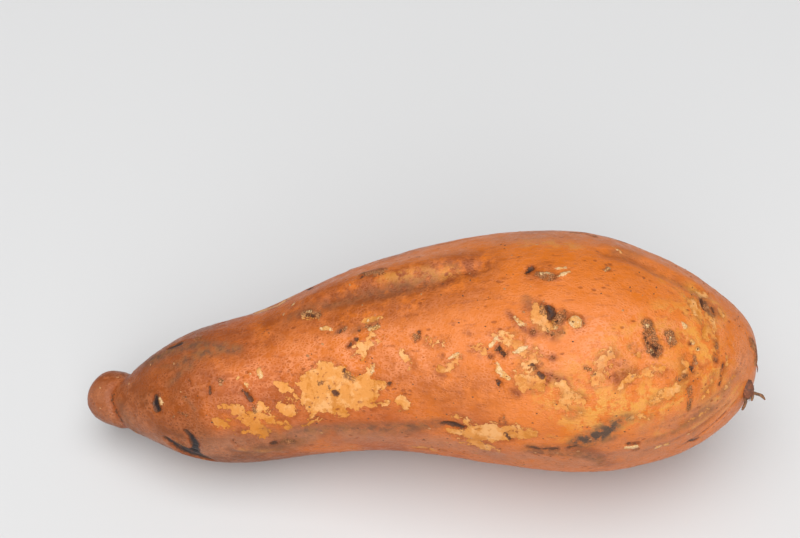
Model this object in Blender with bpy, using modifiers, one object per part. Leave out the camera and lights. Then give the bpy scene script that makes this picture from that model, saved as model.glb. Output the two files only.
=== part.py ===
"""A raw sweet potato lying on its side, grown as one piece.

The tuber lies along X: the stem stub is at -X and the tail root at +X. +Z is up, and the
tuber rests on Z = 0. The origin is on that surface, under the middle of the bounding box.
Its body is a coarse cage of ten-sided rings, smoothed by subdivision. The ground plane then
flattens the two spots that the tuber rests on, and the tail root is joined to its far end.
"""

import math
from typing import NamedTuple

import bmesh
import bpy
from mathutils import Matrix, Vector

# Driving dimensions, in metres.
TUBER_LENGTH = 0.200
STUB_WIDTH = 0.0168  # the corky stub where the vine was snapped off
COLLAR_WIDTH = 0.0172  # the pinched ring behind the stub
NECK_WIDTH = 0.0245
SHOULDER_WIDTH = 0.0412
LOBE_WIDTH = 0.0452  # the narrow lobe, which touches the ground
WAIST_WIDTH = 0.0560  # the arched stretch between the lobe and the bulb
BULB_WIDTH = 0.0744  # the widest place
BULB_END_WIDTH = 0.0540
TAIL_WIDTH = 0.0256
FLATNESS = 0.96  # height over width of every section
REST_SPOT_DEPTH = 0.0008  # how much the ground flattens each place where the tuber rests
ARCH_HEIGHT = 0.0034  # how far the waist stands clear of the ground
STUB_LIFT = 0.0070  # how far the stub stands clear of the ground
TAIL_LIFT = 0.0165  # how far the tail end stands clear of the ground

# The tail root: a woody knob with three broken rootlets.
ROOT_KNOB_WIDTH = 0.0034
ROOT_KNOB_LENGTH = 0.0044
ROOTLET_WIDTH = 0.0012
ROOTLET_TIP_SHARE = 0.55  # tip radius over base radius
ROOT_SEAT_DEPTH = 0.0030  # how far the knob is sunk in the tail, so that the two join as one
ROOT_SEAT_SHARE = 0.62  # where it sits between the last ring but two and the last but one
ROOT_SEAT_REACH = TAIL_WIDTH * 0.60  # how far from the tail's axis
ROOT_SEAT_SIDE = (-0.05, -1.13, 0.43)  # which side of the tail
ROOT_POINTS_TO = (0.40, -0.60, -0.69)
# The knob's thickness along its length: (share of its length, share of its width).
ROOT_KNOB_SHAPE = ((0.0, 0.9), (0.45, 1.0), (0.85, 0.8), (1.0, 0.45))

RING_POINTS = 10
SUBDIVISIONS = 2
# Subdivision draws a ring of n points in to this share of its radius.
RING_SHRINK = (4 + 2 * math.cos(math.tau / RING_POINTS)) / 6

SKIN_COLOUR = (0.60, 0.20, 0.07, 1.0)
SKIN_ROUGHNESS = 0.45


class Section(NamedTuple):
    """A ring of the body: its place as a share of the length, its width, how far its axis
    stands sideways, and how far its underside stands above the ground."""

    share: float
    width: float
    sideways: float
    lift: float


class Swelling(NamedTuple):
    """A low rise, or a hollow where the height is negative, in the body's surface. The angle
    is measured about the body's axis, from the +Y side towards the top."""

    share: float
    angle_deg: float
    reach_share: float
    spread_deg: float
    height: float


SECTIONS = (
    Section(0.000, STUB_WIDTH * 0.70, 0.0008, STUB_LIFT + 0.0026),
    Section(0.022, STUB_WIDTH, -0.0016, STUB_LIFT),
    Section(0.048, STUB_WIDTH, -0.0044, STUB_LIFT),
    Section(0.062, COLLAR_WIDTH, -0.0056, STUB_LIFT + 0.0002),
    Section(0.078, (COLLAR_WIDTH + NECK_WIDTH) / 2, -0.0056, STUB_LIFT - 0.0006),
    Section(0.105, NECK_WIDTH + 0.0036, -0.0064, STUB_LIFT - 0.0022),
    Section(0.160, SHOULDER_WIDTH + 0.0004, -0.0058, -0.0004),
    Section(0.240, LOBE_WIDTH, -0.0044, -REST_SPOT_DEPTH * 2),
    Section(0.320, LOBE_WIDTH * 0.80 + WAIST_WIDTH * 0.20, -0.0024, ARCH_HEIGHT * 0.30),
    Section(0.420, WAIST_WIDTH - 0.0006, 0.0004, ARCH_HEIGHT),
    Section(0.530, WAIST_WIDTH * 0.58 + BULB_WIDTH * 0.42, 0.0022, ARCH_HEIGHT * 0.6),
    Section(0.640, BULB_WIDTH * 0.955, 0.0026, -REST_SPOT_DEPTH),
    Section(0.750, BULB_WIDTH, 0.0004, -REST_SPOT_DEPTH),
    Section(0.850, BULB_WIDTH * 0.5 + BULB_END_WIDTH * 0.5, -0.0006, 0.0012),
    Section(0.915, BULB_END_WIDTH - 0.0008, 0.0012, TAIL_LIFT * 0.42),
    Section(0.965, BULB_END_WIDTH * 0.42 + TAIL_WIDTH * 0.58, 0.0030, TAIL_LIFT * 0.80),
    Section(0.992, TAIL_WIDTH, 0.0044, TAIL_LIFT + 0.0030),
    Section(1.000, TAIL_WIDTH * 0.42, 0.0046, TAIL_LIFT + 0.0092),
)

SWELLINGS = (
    Swelling(0.40, 62, 0.13, 26, 0.0020),  # the ridge along the back
    Swelling(0.42, 100, 0.12, 22, -0.0016),  # the crease in front of it
    Swelling(0.82, 95, 0.10, 24, -0.0012),  # the hollow on the bulb's shoulder
    Swelling(0.86, 40, 0.10, 30, 0.0014),
    Swelling(0.62, 20, 0.12, 40, 0.0018),
    Swelling(0.24, 330, 0.08, 45, -0.0012),
    Swelling(0.70, 235, 0.12, 30, 0.0010),
)


class Rootlet(NamedTuple):
    """A broken rootlet: where it leaves the knob, as a share of the knob's length, and its
    bends, each a step from the point before it."""

    leaves_at: float
    steps: tuple


ROOTLETS = (
    Rootlet(0.90, ((-0.0002, -0.0014, -0.0014), (-0.0004, -0.0014, -0.0016))),
    Rootlet(0.82, ((0.0020, -0.0002, -0.0004), (0.0020, -0.0004, -0.0010))),
    Rootlet(0.95, ((0.0006, -0.0006, -0.0006), (0.0005, -0.0006, -0.0006))),
)


def clear_scene():
    """Removes every object that the scene opens with."""
    for obj in list(bpy.data.objects):
        bpy.data.objects.remove(obj, do_unlink=True)


def new_collection(name):
    """A collection of this name, linked to the scene."""
    collection = bpy.data.collections.new(name)
    bpy.context.scene.collection.children.link(collection)
    return collection


def centre_of(section):
    """The point of the body's axis in the middle of a section."""
    height = section.width * FLATNESS
    return Vector((section.share * TUBER_LENGTH, section.sideways, section.lift + height / 2))


def swell_at(share, angle_deg):
    """How far all the swellings together raise the surface at one place."""
    total = 0.0
    for swelling in SWELLINGS:
        turn = (angle_deg - swelling.angle_deg + 180) % 360 - 180
        away = (share - swelling.share) / swelling.reach_share
        total += swelling.height * math.exp(-(away**2) - (turn / swelling.spread_deg) ** 2)
    return total


def ring_of(index):
    """The cage points of one section, square to the body's axis there."""
    section = SECTIONS[index]
    before = centre_of(SECTIONS[max(index - 1, 0)])
    after = centre_of(SECTIONS[min(index + 1, len(SECTIONS) - 1)])
    along = (after - before).normalized()
    side = Vector((0, 0, 1)).cross(along).normalized()
    up = along.cross(side)
    ring = []
    for step in range(RING_POINTS):
        angle = math.tau * step / RING_POINTS
        half = section.width / 2 + swell_at(section.share, math.degrees(angle))
        half /= RING_SHRINK
        offset = side * math.cos(angle) * half + up * math.sin(angle) * half * FLATNESS
        ring.append(centre_of(section) + offset)
    return ring


def skin_material():
    """The tuber's copper-orange skin."""
    material = bpy.data.materials.new("sweet_potato_skin")
    material.use_nodes = True
    shader = material.node_tree.nodes["Principled BSDF"]
    shader.inputs["Base Color"].default_value = SKIN_COLOUR
    shader.inputs["Roughness"].default_value = SKIN_ROUGHNESS
    shader.inputs["Metallic"].default_value = 0.0
    return material


def build_body(collection):
    """The body: a loft of the sections' rings, closed at both ends and subdivided."""
    cage = bmesh.new()
    rings = [[cage.verts.new(p) for p in ring_of(i)] for i in range(len(SECTIONS))]
    for ring, following in zip(rings, rings[1:]):
        for step in range(RING_POINTS):
            turned = (step + 1) % RING_POINTS
            cage.faces.new((ring[step], ring[turned], following[turned], following[step]))
    cage.faces.new(reversed(rings[0]))
    cage.faces.new(rings[-1])
    bmesh.ops.recalc_face_normals(cage, faces=cage.faces)
    mesh = bpy.data.meshes.new("sweet_potato")
    cage.to_mesh(mesh)
    cage.free()
    body = bpy.data.objects.new("sweet_potato", mesh)
    body.data.materials.append(skin_material())
    collection.objects.link(body)
    smooth = body.modifiers.new("smooth_skin", "SUBSURF")
    smooth.levels = SUBDIVISIONS
    smooth.render_levels = SUBDIVISIONS
    return body


def as_helper(obj):
    """Keeps an object out of the model: it only shapes another one."""
    obj.hide_render = True
    obj.display_type = "WIRE"
    return obj


def tapered_root(name, points, radii, collection):
    """A round root through these points, with a radius at each, as a closed mesh."""
    curve = bpy.data.curves.new(name, "CURVE")
    curve.dimensions = "3D"
    curve.bevel_depth = 1.0  # each point's own radius sets the size
    curve.bevel_resolution = 2
    curve.use_fill_caps = True
    spline = curve.splines.new("POLY")
    spline.points.add(len(points) - 1)
    for target, point, radius in zip(spline.points, points, radii):
        target.co = (*point, 1.0)
        target.radius = radius
    drawn = bpy.data.objects.new(name + "_curve", curve)
    collection.objects.link(drawn)
    bpy.context.view_layer.update()
    evaluated = drawn.evaluated_get(bpy.context.evaluated_depsgraph_get())
    mesh = bpy.data.meshes.new_from_object(evaluated)
    bpy.data.objects.remove(drawn)
    shaped = bmesh.new()
    shaped.from_mesh(mesh)
    bmesh.ops.remove_doubles(shaped, verts=shaped.verts, dist=1e-6)
    bmesh.ops.recalc_face_normals(shaped, faces=shaped.faces)
    shaped.to_mesh(mesh)
    shaped.free()
    root = bpy.data.objects.new(name, mesh)
    collection.objects.link(root)
    return as_helper(root)


def build_tail_root(collection):
    """The knob at the tail and the broken rootlets on it, each a mesh to join to the body."""
    outward = Vector(ROOT_POINTS_TO).normalized()
    middle = centre_of(SECTIONS[-3]).lerp(centre_of(SECTIONS[-2]), ROOT_SEAT_SHARE)
    seat = middle + Vector(ROOT_SEAT_SIDE) * ROOT_SEAT_REACH
    start = seat - outward * ROOT_SEAT_DEPTH
    tip = seat + outward * ROOT_KNOB_LENGTH
    points = [start.lerp(tip, share) for share, _ in ROOT_KNOB_SHAPE]
    radii = [ROOT_KNOB_WIDTH / 2 * girth for _, girth in ROOT_KNOB_SHAPE]
    roots = [tapered_root("root_knob", points, radii, collection)]
    for number, rootlet in enumerate(ROOTLETS, start=1):
        leaves = start.lerp(tip, rootlet.leaves_at)
        points = [leaves - outward * ROOTLET_WIDTH, leaves]
        for step in rootlet.steps:
            points.append(points[-1] + Vector(step))
        last = len(points) - 1
        radii = [
            ROOTLET_WIDTH / 2 * (1 - (1 - ROOTLET_TIP_SHARE) * place / last)
            for place in range(len(points))
        ]
        roots.append(tapered_root(f"rootlet_{number}", points, radii, collection))
    return roots


def build_ground(collection):
    """A slab under Z = 0, which flattens the spots that the tuber rests on."""
    thickness = 0.02
    mesh = bpy.data.meshes.new("ground")
    slab = bmesh.new()
    bmesh.ops.create_cube(slab, size=1.0)
    size = Matrix.Diagonal((TUBER_LENGTH * 2, BULB_WIDTH * 3, thickness, 1.0))
    place = Matrix.Translation((TUBER_LENGTH / 2, 0, -thickness / 2))
    bmesh.ops.transform(slab, matrix=place @ size, verts=slab.verts)
    slab.to_mesh(mesh)
    slab.free()
    ground = bpy.data.objects.new("ground", mesh)
    collection.objects.link(ground)
    return as_helper(ground)


def add_boolean(obj, other, operation):
    """Joins another mesh to an object, or cuts it away."""
    modifier = obj.modifiers.new(f"{operation.lower()}_{other.name}", "BOOLEAN")
    modifier.operation = operation
    modifier.solver = "EXACT"
    modifier.object = other


def centre_on_origin(body, helpers):
    """Hangs everything on an empty, moved so that the origin is under the box's middle."""
    bpy.context.view_layer.update()
    evaluated = body.evaluated_get(bpy.context.evaluated_depsgraph_get())
    corners = [vertex.co for vertex in evaluated.data.vertices]
    middle = [(min(c[k] for c in corners) + max(c[k] for c in corners)) / 2 for k in (0, 1)]
    anchor = bpy.data.objects.new("rest_frame", None)
    body.users_collection[0].objects.link(anchor)
    for obj in [body, *helpers]:
        obj.parent = anchor
    anchor.location = (-middle[0], -middle[1], 0)


def main():
    """Builds the sweet potato."""
    clear_scene()
    parts = new_collection("sweet_potato")
    cutters = new_collection("cutters")
    body = build_body(parts)
    ground = build_ground(cutters)
    roots = build_tail_root(cutters)
    add_boolean(body, ground, "DIFFERENCE")
    for root in roots:
        add_boolean(body, root, "UNION")
    centre_on_origin(body, [ground, *roots])


main()
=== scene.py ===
"""The finished look of a raw sweet potato lying on its side.

The skin is a fine closed mesh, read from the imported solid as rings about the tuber's axis and
then worked over: furrows, pits, scabs, scraped patches and the snapped stem end are raised or
sunk in it, and the same marks are left on it as attributes for its material. Distances along
the tuber are measured from the stem end over the skin, and angles about its axis from the
front, up over the top.
"""

import logging
import math
from dataclasses import dataclass, field
from enum import Enum

import bmesh
import bpy
import numpy as np
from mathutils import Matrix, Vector
from mathutils.bvhtree import BVHTree


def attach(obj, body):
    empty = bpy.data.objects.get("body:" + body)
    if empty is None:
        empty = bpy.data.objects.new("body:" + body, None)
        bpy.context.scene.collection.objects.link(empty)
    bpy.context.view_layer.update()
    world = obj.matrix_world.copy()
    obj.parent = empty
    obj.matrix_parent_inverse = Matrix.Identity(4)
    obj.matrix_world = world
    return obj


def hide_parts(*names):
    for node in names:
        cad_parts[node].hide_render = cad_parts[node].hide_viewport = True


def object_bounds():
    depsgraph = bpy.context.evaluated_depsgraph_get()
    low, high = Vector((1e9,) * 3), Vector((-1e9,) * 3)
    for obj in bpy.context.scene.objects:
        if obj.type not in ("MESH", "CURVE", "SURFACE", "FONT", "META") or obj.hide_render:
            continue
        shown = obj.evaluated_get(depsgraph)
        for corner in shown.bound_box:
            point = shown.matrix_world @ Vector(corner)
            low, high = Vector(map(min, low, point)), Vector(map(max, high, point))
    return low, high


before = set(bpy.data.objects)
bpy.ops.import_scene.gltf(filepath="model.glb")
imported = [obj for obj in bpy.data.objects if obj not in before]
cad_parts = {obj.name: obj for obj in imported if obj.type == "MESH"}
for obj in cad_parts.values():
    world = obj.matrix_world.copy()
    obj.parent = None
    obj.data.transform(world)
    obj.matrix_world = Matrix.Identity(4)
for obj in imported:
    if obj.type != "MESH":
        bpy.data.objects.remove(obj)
CAD_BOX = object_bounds()

log = logging.getLogger("sweet_potato")

MM = 0.001

Point = tuple[float, float, float]
Colour = tuple[float, float, float, float]
Socket = bpy.types.NodeSocket


def smooth_step(low: float, high: float, value: np.ndarray) -> np.ndarray:
    """Rises smoothly from 0 to 1 between two values.

    Args:
        low: Where the step starts.
        high: Where the step ends.
        value: The values to read.

    Returns:
        The step at each value.
    """
    share = np.clip((value - low) / (high - low), 0.0, 1.0)
    return share * share * (3.0 - 2.0 * share)


def blurred(values: np.ndarray, spread: float, axis: int, closed: bool) -> np.ndarray:
    """Blurs an array along one axis with a bell-shaped weight.

    Args:
        values: The array.
        spread: The bell's width, in rows of the array.
        axis: The axis to blur along.
        closed: Whether the far end of that axis meets its start.

    Returns:
        The blurred array.
    """
    reach = int(math.ceil(spread * 3))
    steps = np.arange(-reach, reach + 1)
    weights = np.exp(-0.5 * (steps / spread) ** 2)
    weights /= weights.sum()
    padding = [(0, 0)] * values.ndim
    padding[axis] = (reach, reach)
    padded = np.pad(values, padding, mode="wrap" if closed else "edge")
    total = np.zeros_like(values)
    count = values.shape[axis]
    for weight, start in zip(weights, range(2 * reach + 1)):
        window = [slice(None)] * values.ndim
        window[axis] = slice(start, start + count)
        total += weight * padded[tuple(window)]
    return total


@dataclass
class TuberForm:
    """The tuber's smooth form: rings of points about its axis, stem end first.

    The rings stand square to the axis along the body, and close over each end like the rings
    of a dome.
    """

    node: str = "sweet_potato"
    rings: int = 304
    ring_points: int = 316
    stem_dome_at: float = -94.0 * MM
    stem_dome_radius: float = 7.7 * MM
    tail_dome_at: float = 70.0 * MM
    tail_dome_radius: float = 29.5 * MM
    root_seat: Vector = field(default_factory=lambda: Vector((0.0966, -0.0147, 0.0360)))
    root_reach: float = 5.2 * MM
    smoothing_along: float = 2.4 * MM
    smoothing_around: float = 2.0 * MM
    stations: int = 60
    centring_rounds: int = 3
    axis_blur: float = 2.0
    fill_rounds: int = 600
    along: np.ndarray = field(init=False)
    around: np.ndarray = field(init=False)
    axis_points: np.ndarray = field(init=False)
    outward: np.ndarray = field(init=False)
    reach: np.ndarray = field(init=False)

    def __post_init__(self) -> None:
        """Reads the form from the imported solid."""
        self.bvh = self._tree()
        self._find_axis()
        self._lay_rings()
        self._read_reach()

    def _tree(self) -> BVHTree:
        """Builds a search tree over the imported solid.

        Returns:
            The tree.
        """
        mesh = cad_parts[self.node].data
        corners = [vertex.co.copy() for vertex in mesh.vertices]
        return BVHTree.FromPolygons(corners, [tuple(face.vertices) for face in mesh.polygons])

    def _hit(self, start: Vector, direction: Vector) -> Vector | None:
        """Returns where a ray from inside meets the solid's wall."""
        return self.bvh.ray_cast(start, direction)[0]

    def _find_axis(self) -> None:
        """Finds the middle of the solid at stations along X."""
        stations = np.linspace(self.stem_dome_at, self.tail_dome_at, self.stations)
        low, high = CAD_BOX
        middle = Vector((0.0, 0.0, (low[2] + high[2]) / 2))
        centres = []
        for station in reversed(stations):
            middle = Vector((station, middle.y, middle.z))
            for _ in range(self.centring_rounds):
                front = self._hit(middle, Vector((0, -1, 0)))
                back = self._hit(middle, Vector((0, 1, 0)))
                middle.y = (front.y + back.y) / 2
                under = self._hit(middle, Vector((0, 0, -1)))
                top = self._hit(middle, Vector((0, 0, 1)))
                middle.z = (under.z + top.z) / 2
            centres.append((middle.y, middle.z))
        centres = np.array(centres[::-1])
        self.axis_stations = stations
        self.axis_centres = blurred(centres, self.axis_blur, axis=0, closed=False)

    def centre_at(self, station: np.ndarray) -> np.ndarray:
        """Finds points of the axis.

        Args:
            station: Places along X.

        Returns:
            The axis point at each.
        """
        sideways = np.interp(station, self.axis_stations, self.axis_centres[:, 0])
        height = np.interp(station, self.axis_stations, self.axis_centres[:, 1])
        return np.stack([station, sideways, height], axis=-1)

    def _lay_rings(self) -> None:
        """Sets each ring's distance along the skin, its axis point and its points' directions."""
        stem_arc = self.stem_dome_radius * math.pi / 2
        tail_arc = self.tail_dome_radius * math.pi / 2
        straight = self.tail_dome_at - self.stem_dome_at
        self.total = stem_arc + straight + tail_arc
        self.along = (np.arange(self.rings) + 0.5) / self.rings * self.total
        self.around = np.arange(self.ring_points) / self.ring_points * math.tau
        tilt_stem = np.clip(1 - self.along / stem_arc, 0, 1)
        tilt_tail = np.clip((self.along - stem_arc - straight) / tail_arc, 0, 1)
        lean = (tilt_tail - tilt_stem) * math.pi / 2
        station = self.stem_dome_at + np.clip(self.along - stem_arc, 0, straight)
        self.axis_points = self.centre_at(station)
        self.outward = np.zeros((self.rings, self.ring_points, 3))
        self.outward[..., 0] = np.sin(lean)[:, None]
        self.outward[..., 1] = -np.cos(lean)[:, None] * np.cos(self.around)
        self.outward[..., 2] = np.cos(lean)[:, None] * np.sin(self.around)

    def _read_reach(self) -> None:
        """Reads how far the skin stands from the axis, without the tail root, and smooths it."""
        reach = np.zeros((self.rings, self.ring_points))
        rooted = np.zeros(reach.shape, dtype=bool)
        for ring in range(self.rings):
            start = Vector(self.axis_points[ring])
            for point in range(self.ring_points):
                found = self._hit(start, Vector(self.outward[ring, point]))
                reach[ring, point] = (found - start).length
                rooted[ring, point] = (found - self.root_seat).length < self.root_reach
        self.reach = self._without_root(reach, rooted)
        spacing = self.total / self.rings
        self.reach = blurred(self.reach, self.smoothing_along / spacing, axis=0, closed=False)
        turn = self.smoothing_around / (float(self.reach.mean()) * math.tau / self.ring_points)
        self.reach = blurred(self.reach, turn, axis=1, closed=True)

    def _without_root(self, reach: np.ndarray, rooted: np.ndarray) -> np.ndarray:
        """Fills the skin in where the tail root stands, from the skin about it.

        Args:
            reach: How far each point stands from the axis.
            rooted: Which points lie on the tail root.

        Returns:
            The filled reach.
        """
        filled = reach.copy()
        filled[rooted] = np.median(reach[rooted])
        for _ in range(self.fill_rounds):
            sides = np.roll(filled, 1, 1) + np.roll(filled, -1, 1)
            ends = np.roll(filled, 1, 0) + np.roll(filled, -1, 0)
            filled[rooted] = ((sides + ends) / 4)[rooted]
        return filled

    def points(self) -> np.ndarray:
        """Returns the skin's points, ring by ring."""
        return self.axis_points[:, None, :] + self.outward * self.reach[..., None]

    def place(self, along: float, turn: float) -> Vector:
        """Returns the skin's nearest point to a place.

        Args:
            along: Millimetres from the stem end over the skin.
            turn: Degrees about the axis from the front.

        Returns:
            The point, in metres.
        """
        ring = int(np.abs(self.along / MM - along).argmin())
        point = int(np.abs((np.degrees(self.around) - turn + 180) % 360 - 180).argmin())
        return Vector(self.points()[ring, point])

    def girth(self) -> np.ndarray:
        """Returns each point's distance from the axis, square to it."""
        return self.reach * np.hypot(self.outward[..., 1], self.outward[..., 2])


@dataclass(frozen=True)
class SoftBox:
    """A square light, with its place and side in metres and its power in watts."""

    name: str
    place: Point
    side: float
    power: float


@dataclass
class Studio:
    """The pale floor, the soft lights and the camera."""

    floor_size: float = 6.0
    floor_colour: Colour = (0.60, 0.60, 0.60, 1.0)
    floor_roughness: float = 0.6
    air_colour: Colour = (0.97, 0.98, 1.0, 1.0)
    air_strength: float = 0.30
    boxes: tuple[SoftBox, ...] = (
        SoftBox("overhead_box", (-0.05, -0.45, 2.3), 3.0, 64.0),
        SoftBox("front_box", (0.2, -3.2, 1.9), 3.0, 97.0),
    )
    lens: float = 70.0
    sensor_width: float = 36.0
    nearest: float = 10.0 * MM
    distance: float = 473.0 * MM
    elevation: float = 48.0
    subject: Vector = field(default_factory=lambda: Vector((0.0, 0.0, 0.030)))
    aim: Vector = field(default_factory=lambda: Vector((-0.0058, 0.0380, 0.030)))

    def build(self) -> None:
        """Makes the floor, lights, world and camera."""
        self._floor()
        self._world()
        for box in self.boxes:
            self._hang_light(box)
        self._camera()

    def _floor(self) -> None:
        """Lays a wide pale floor at the height that the tuber rests on."""
        half = self.floor_size / 2
        mesh = bpy.data.meshes.new("floor")
        corners = [(-half, -half, 0), (half, -half, 0), (half, half, 0), (-half, half, 0)]
        mesh.from_pydata(corners, [], [(0, 1, 2, 3)])
        floor = bpy.data.objects.new("floor", mesh)
        bpy.context.scene.collection.objects.link(floor)
        paint = bpy.data.materials.new("floor_paint")
        paint.use_nodes = True
        shader = paint.node_tree.nodes["Principled BSDF"]
        shader.inputs["Base Color"].default_value = self.floor_colour
        shader.inputs["Roughness"].default_value = self.floor_roughness
        mesh.materials.append(paint)

    def _world(self) -> None:
        """Fills the room with soft even light."""
        world = bpy.data.worlds.new("studio_air")
        world.use_nodes = True
        background = world.node_tree.nodes["Background"]
        background.inputs["Color"].default_value = self.air_colour
        background.inputs["Strength"].default_value = self.air_strength
        bpy.context.scene.world = world

    def _hang_light(self, box: SoftBox) -> None:
        """Hangs a soft box so that it faces the tuber.

        Args:
            box: The light.
        """
        lamp = bpy.data.lights.new(box.name, "AREA")
        lamp.shape = "SQUARE"
        lamp.size = box.side
        lamp.energy = box.power
        light = bpy.data.objects.new(box.name, lamp)
        light.location = box.place
        light.rotation_euler = (self.subject - light.location).to_track_quat("-Z", "Y").to_euler()
        bpy.context.scene.collection.objects.link(light)

    def _camera(self) -> None:
        """Sets the camera in front of the tuber, looking down on it."""
        data = bpy.data.cameras.new("camera")
        data.lens = self.lens
        data.sensor_width = self.sensor_width
        data.clip_start = self.nearest
        camera = bpy.data.objects.new("camera", data)
        slope = math.radians(self.elevation)
        back = Vector((0.0, -math.cos(slope), math.sin(slope)))
        camera.location = self.subject + back * self.distance
        camera.rotation_euler = (self.aim - camera.location).to_track_quat("-Z", "Y").to_euler()
        bpy.context.scene.collection.objects.link(camera)
        bpy.context.scene.camera = camera
        bpy.context.scene.view_settings.view_transform = "Standard"


class Kind(Enum):
    """What a mark on the skin is. Its value is the attribute that holds it."""

    SCRAPE = "scrape"
    HOLE = "hole"
    CORK = "cork"
    PALE = "pale"
    DIRT = "dirt"
    GOLD = "gold"
    RUST = "rust"
    # Pink skin, laid on strongly as a painted sheen where light falls.
    PINK_AND_SHEEN = "pink_and_sheen"
    DUST_AND_SHEEN = "dust_and_sheen"
    FORM = "form"


SOFT_KINDS = (Kind.DIRT, Kind.GOLD, Kind.RUST, Kind.PINK_AND_SHEEN, Kind.DUST_AND_SHEEN)
CRISP_KINDS = (Kind.SCRAPE, Kind.HOLE, Kind.CORK, Kind.PALE)

# How far each kind stands out of the skin, in millimetres, where a stroke doesn't say.
RELIEF = {
    Kind.SCRAPE: -0.10,
    Kind.HOLE: -0.85,
    Kind.CORK: 0.18,
    Kind.PALE: 0.16,
}


@dataclass(frozen=True)
class Stroke:
    """One mark: a line over the skin with a width at each of its points.

    Each point is (millimetres from the stem end, degrees about the axis, width in
    millimetres). A blot is a stroke of one point.
    """

    kind: Kind
    points: tuple[Point, ...]
    relief: float | None = None
    strength: float = 1.0


def scrape(*points: Point) -> Stroke:
    """Returns a stroke where the thin skin is scraped off and the flesh shows."""
    return Stroke(Kind.SCRAPE, points)


def hole(*points: Point, relief: float | None = None) -> Stroke:
    """Returns a sunken stroke of dead black tissue."""
    return Stroke(Kind.HOLE, points, relief)


def cork(*points: Point, relief: float | None = None) -> Stroke:
    """Returns a brown corky stroke."""
    return Stroke(Kind.CORK, points, relief)


def pale(*points: Point, relief: float | None = None) -> Stroke:
    """Returns a stroke of cream-coloured healed skin, such as a lenticel's lips; a few are painted
    glints.
    """
    return Stroke(Kind.PALE, points, relief)


def raised(relief: float, *points: Point) -> Stroke:
    """Returns a stroke that only raises or sinks the skin."""
    return Stroke(Kind.FORM, points, relief)


def tint(kind: Kind, strength: float, *points: Point) -> Stroke:
    """Returns a soft stroke of colour."""
    return Stroke(kind, points, strength=strength)


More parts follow.
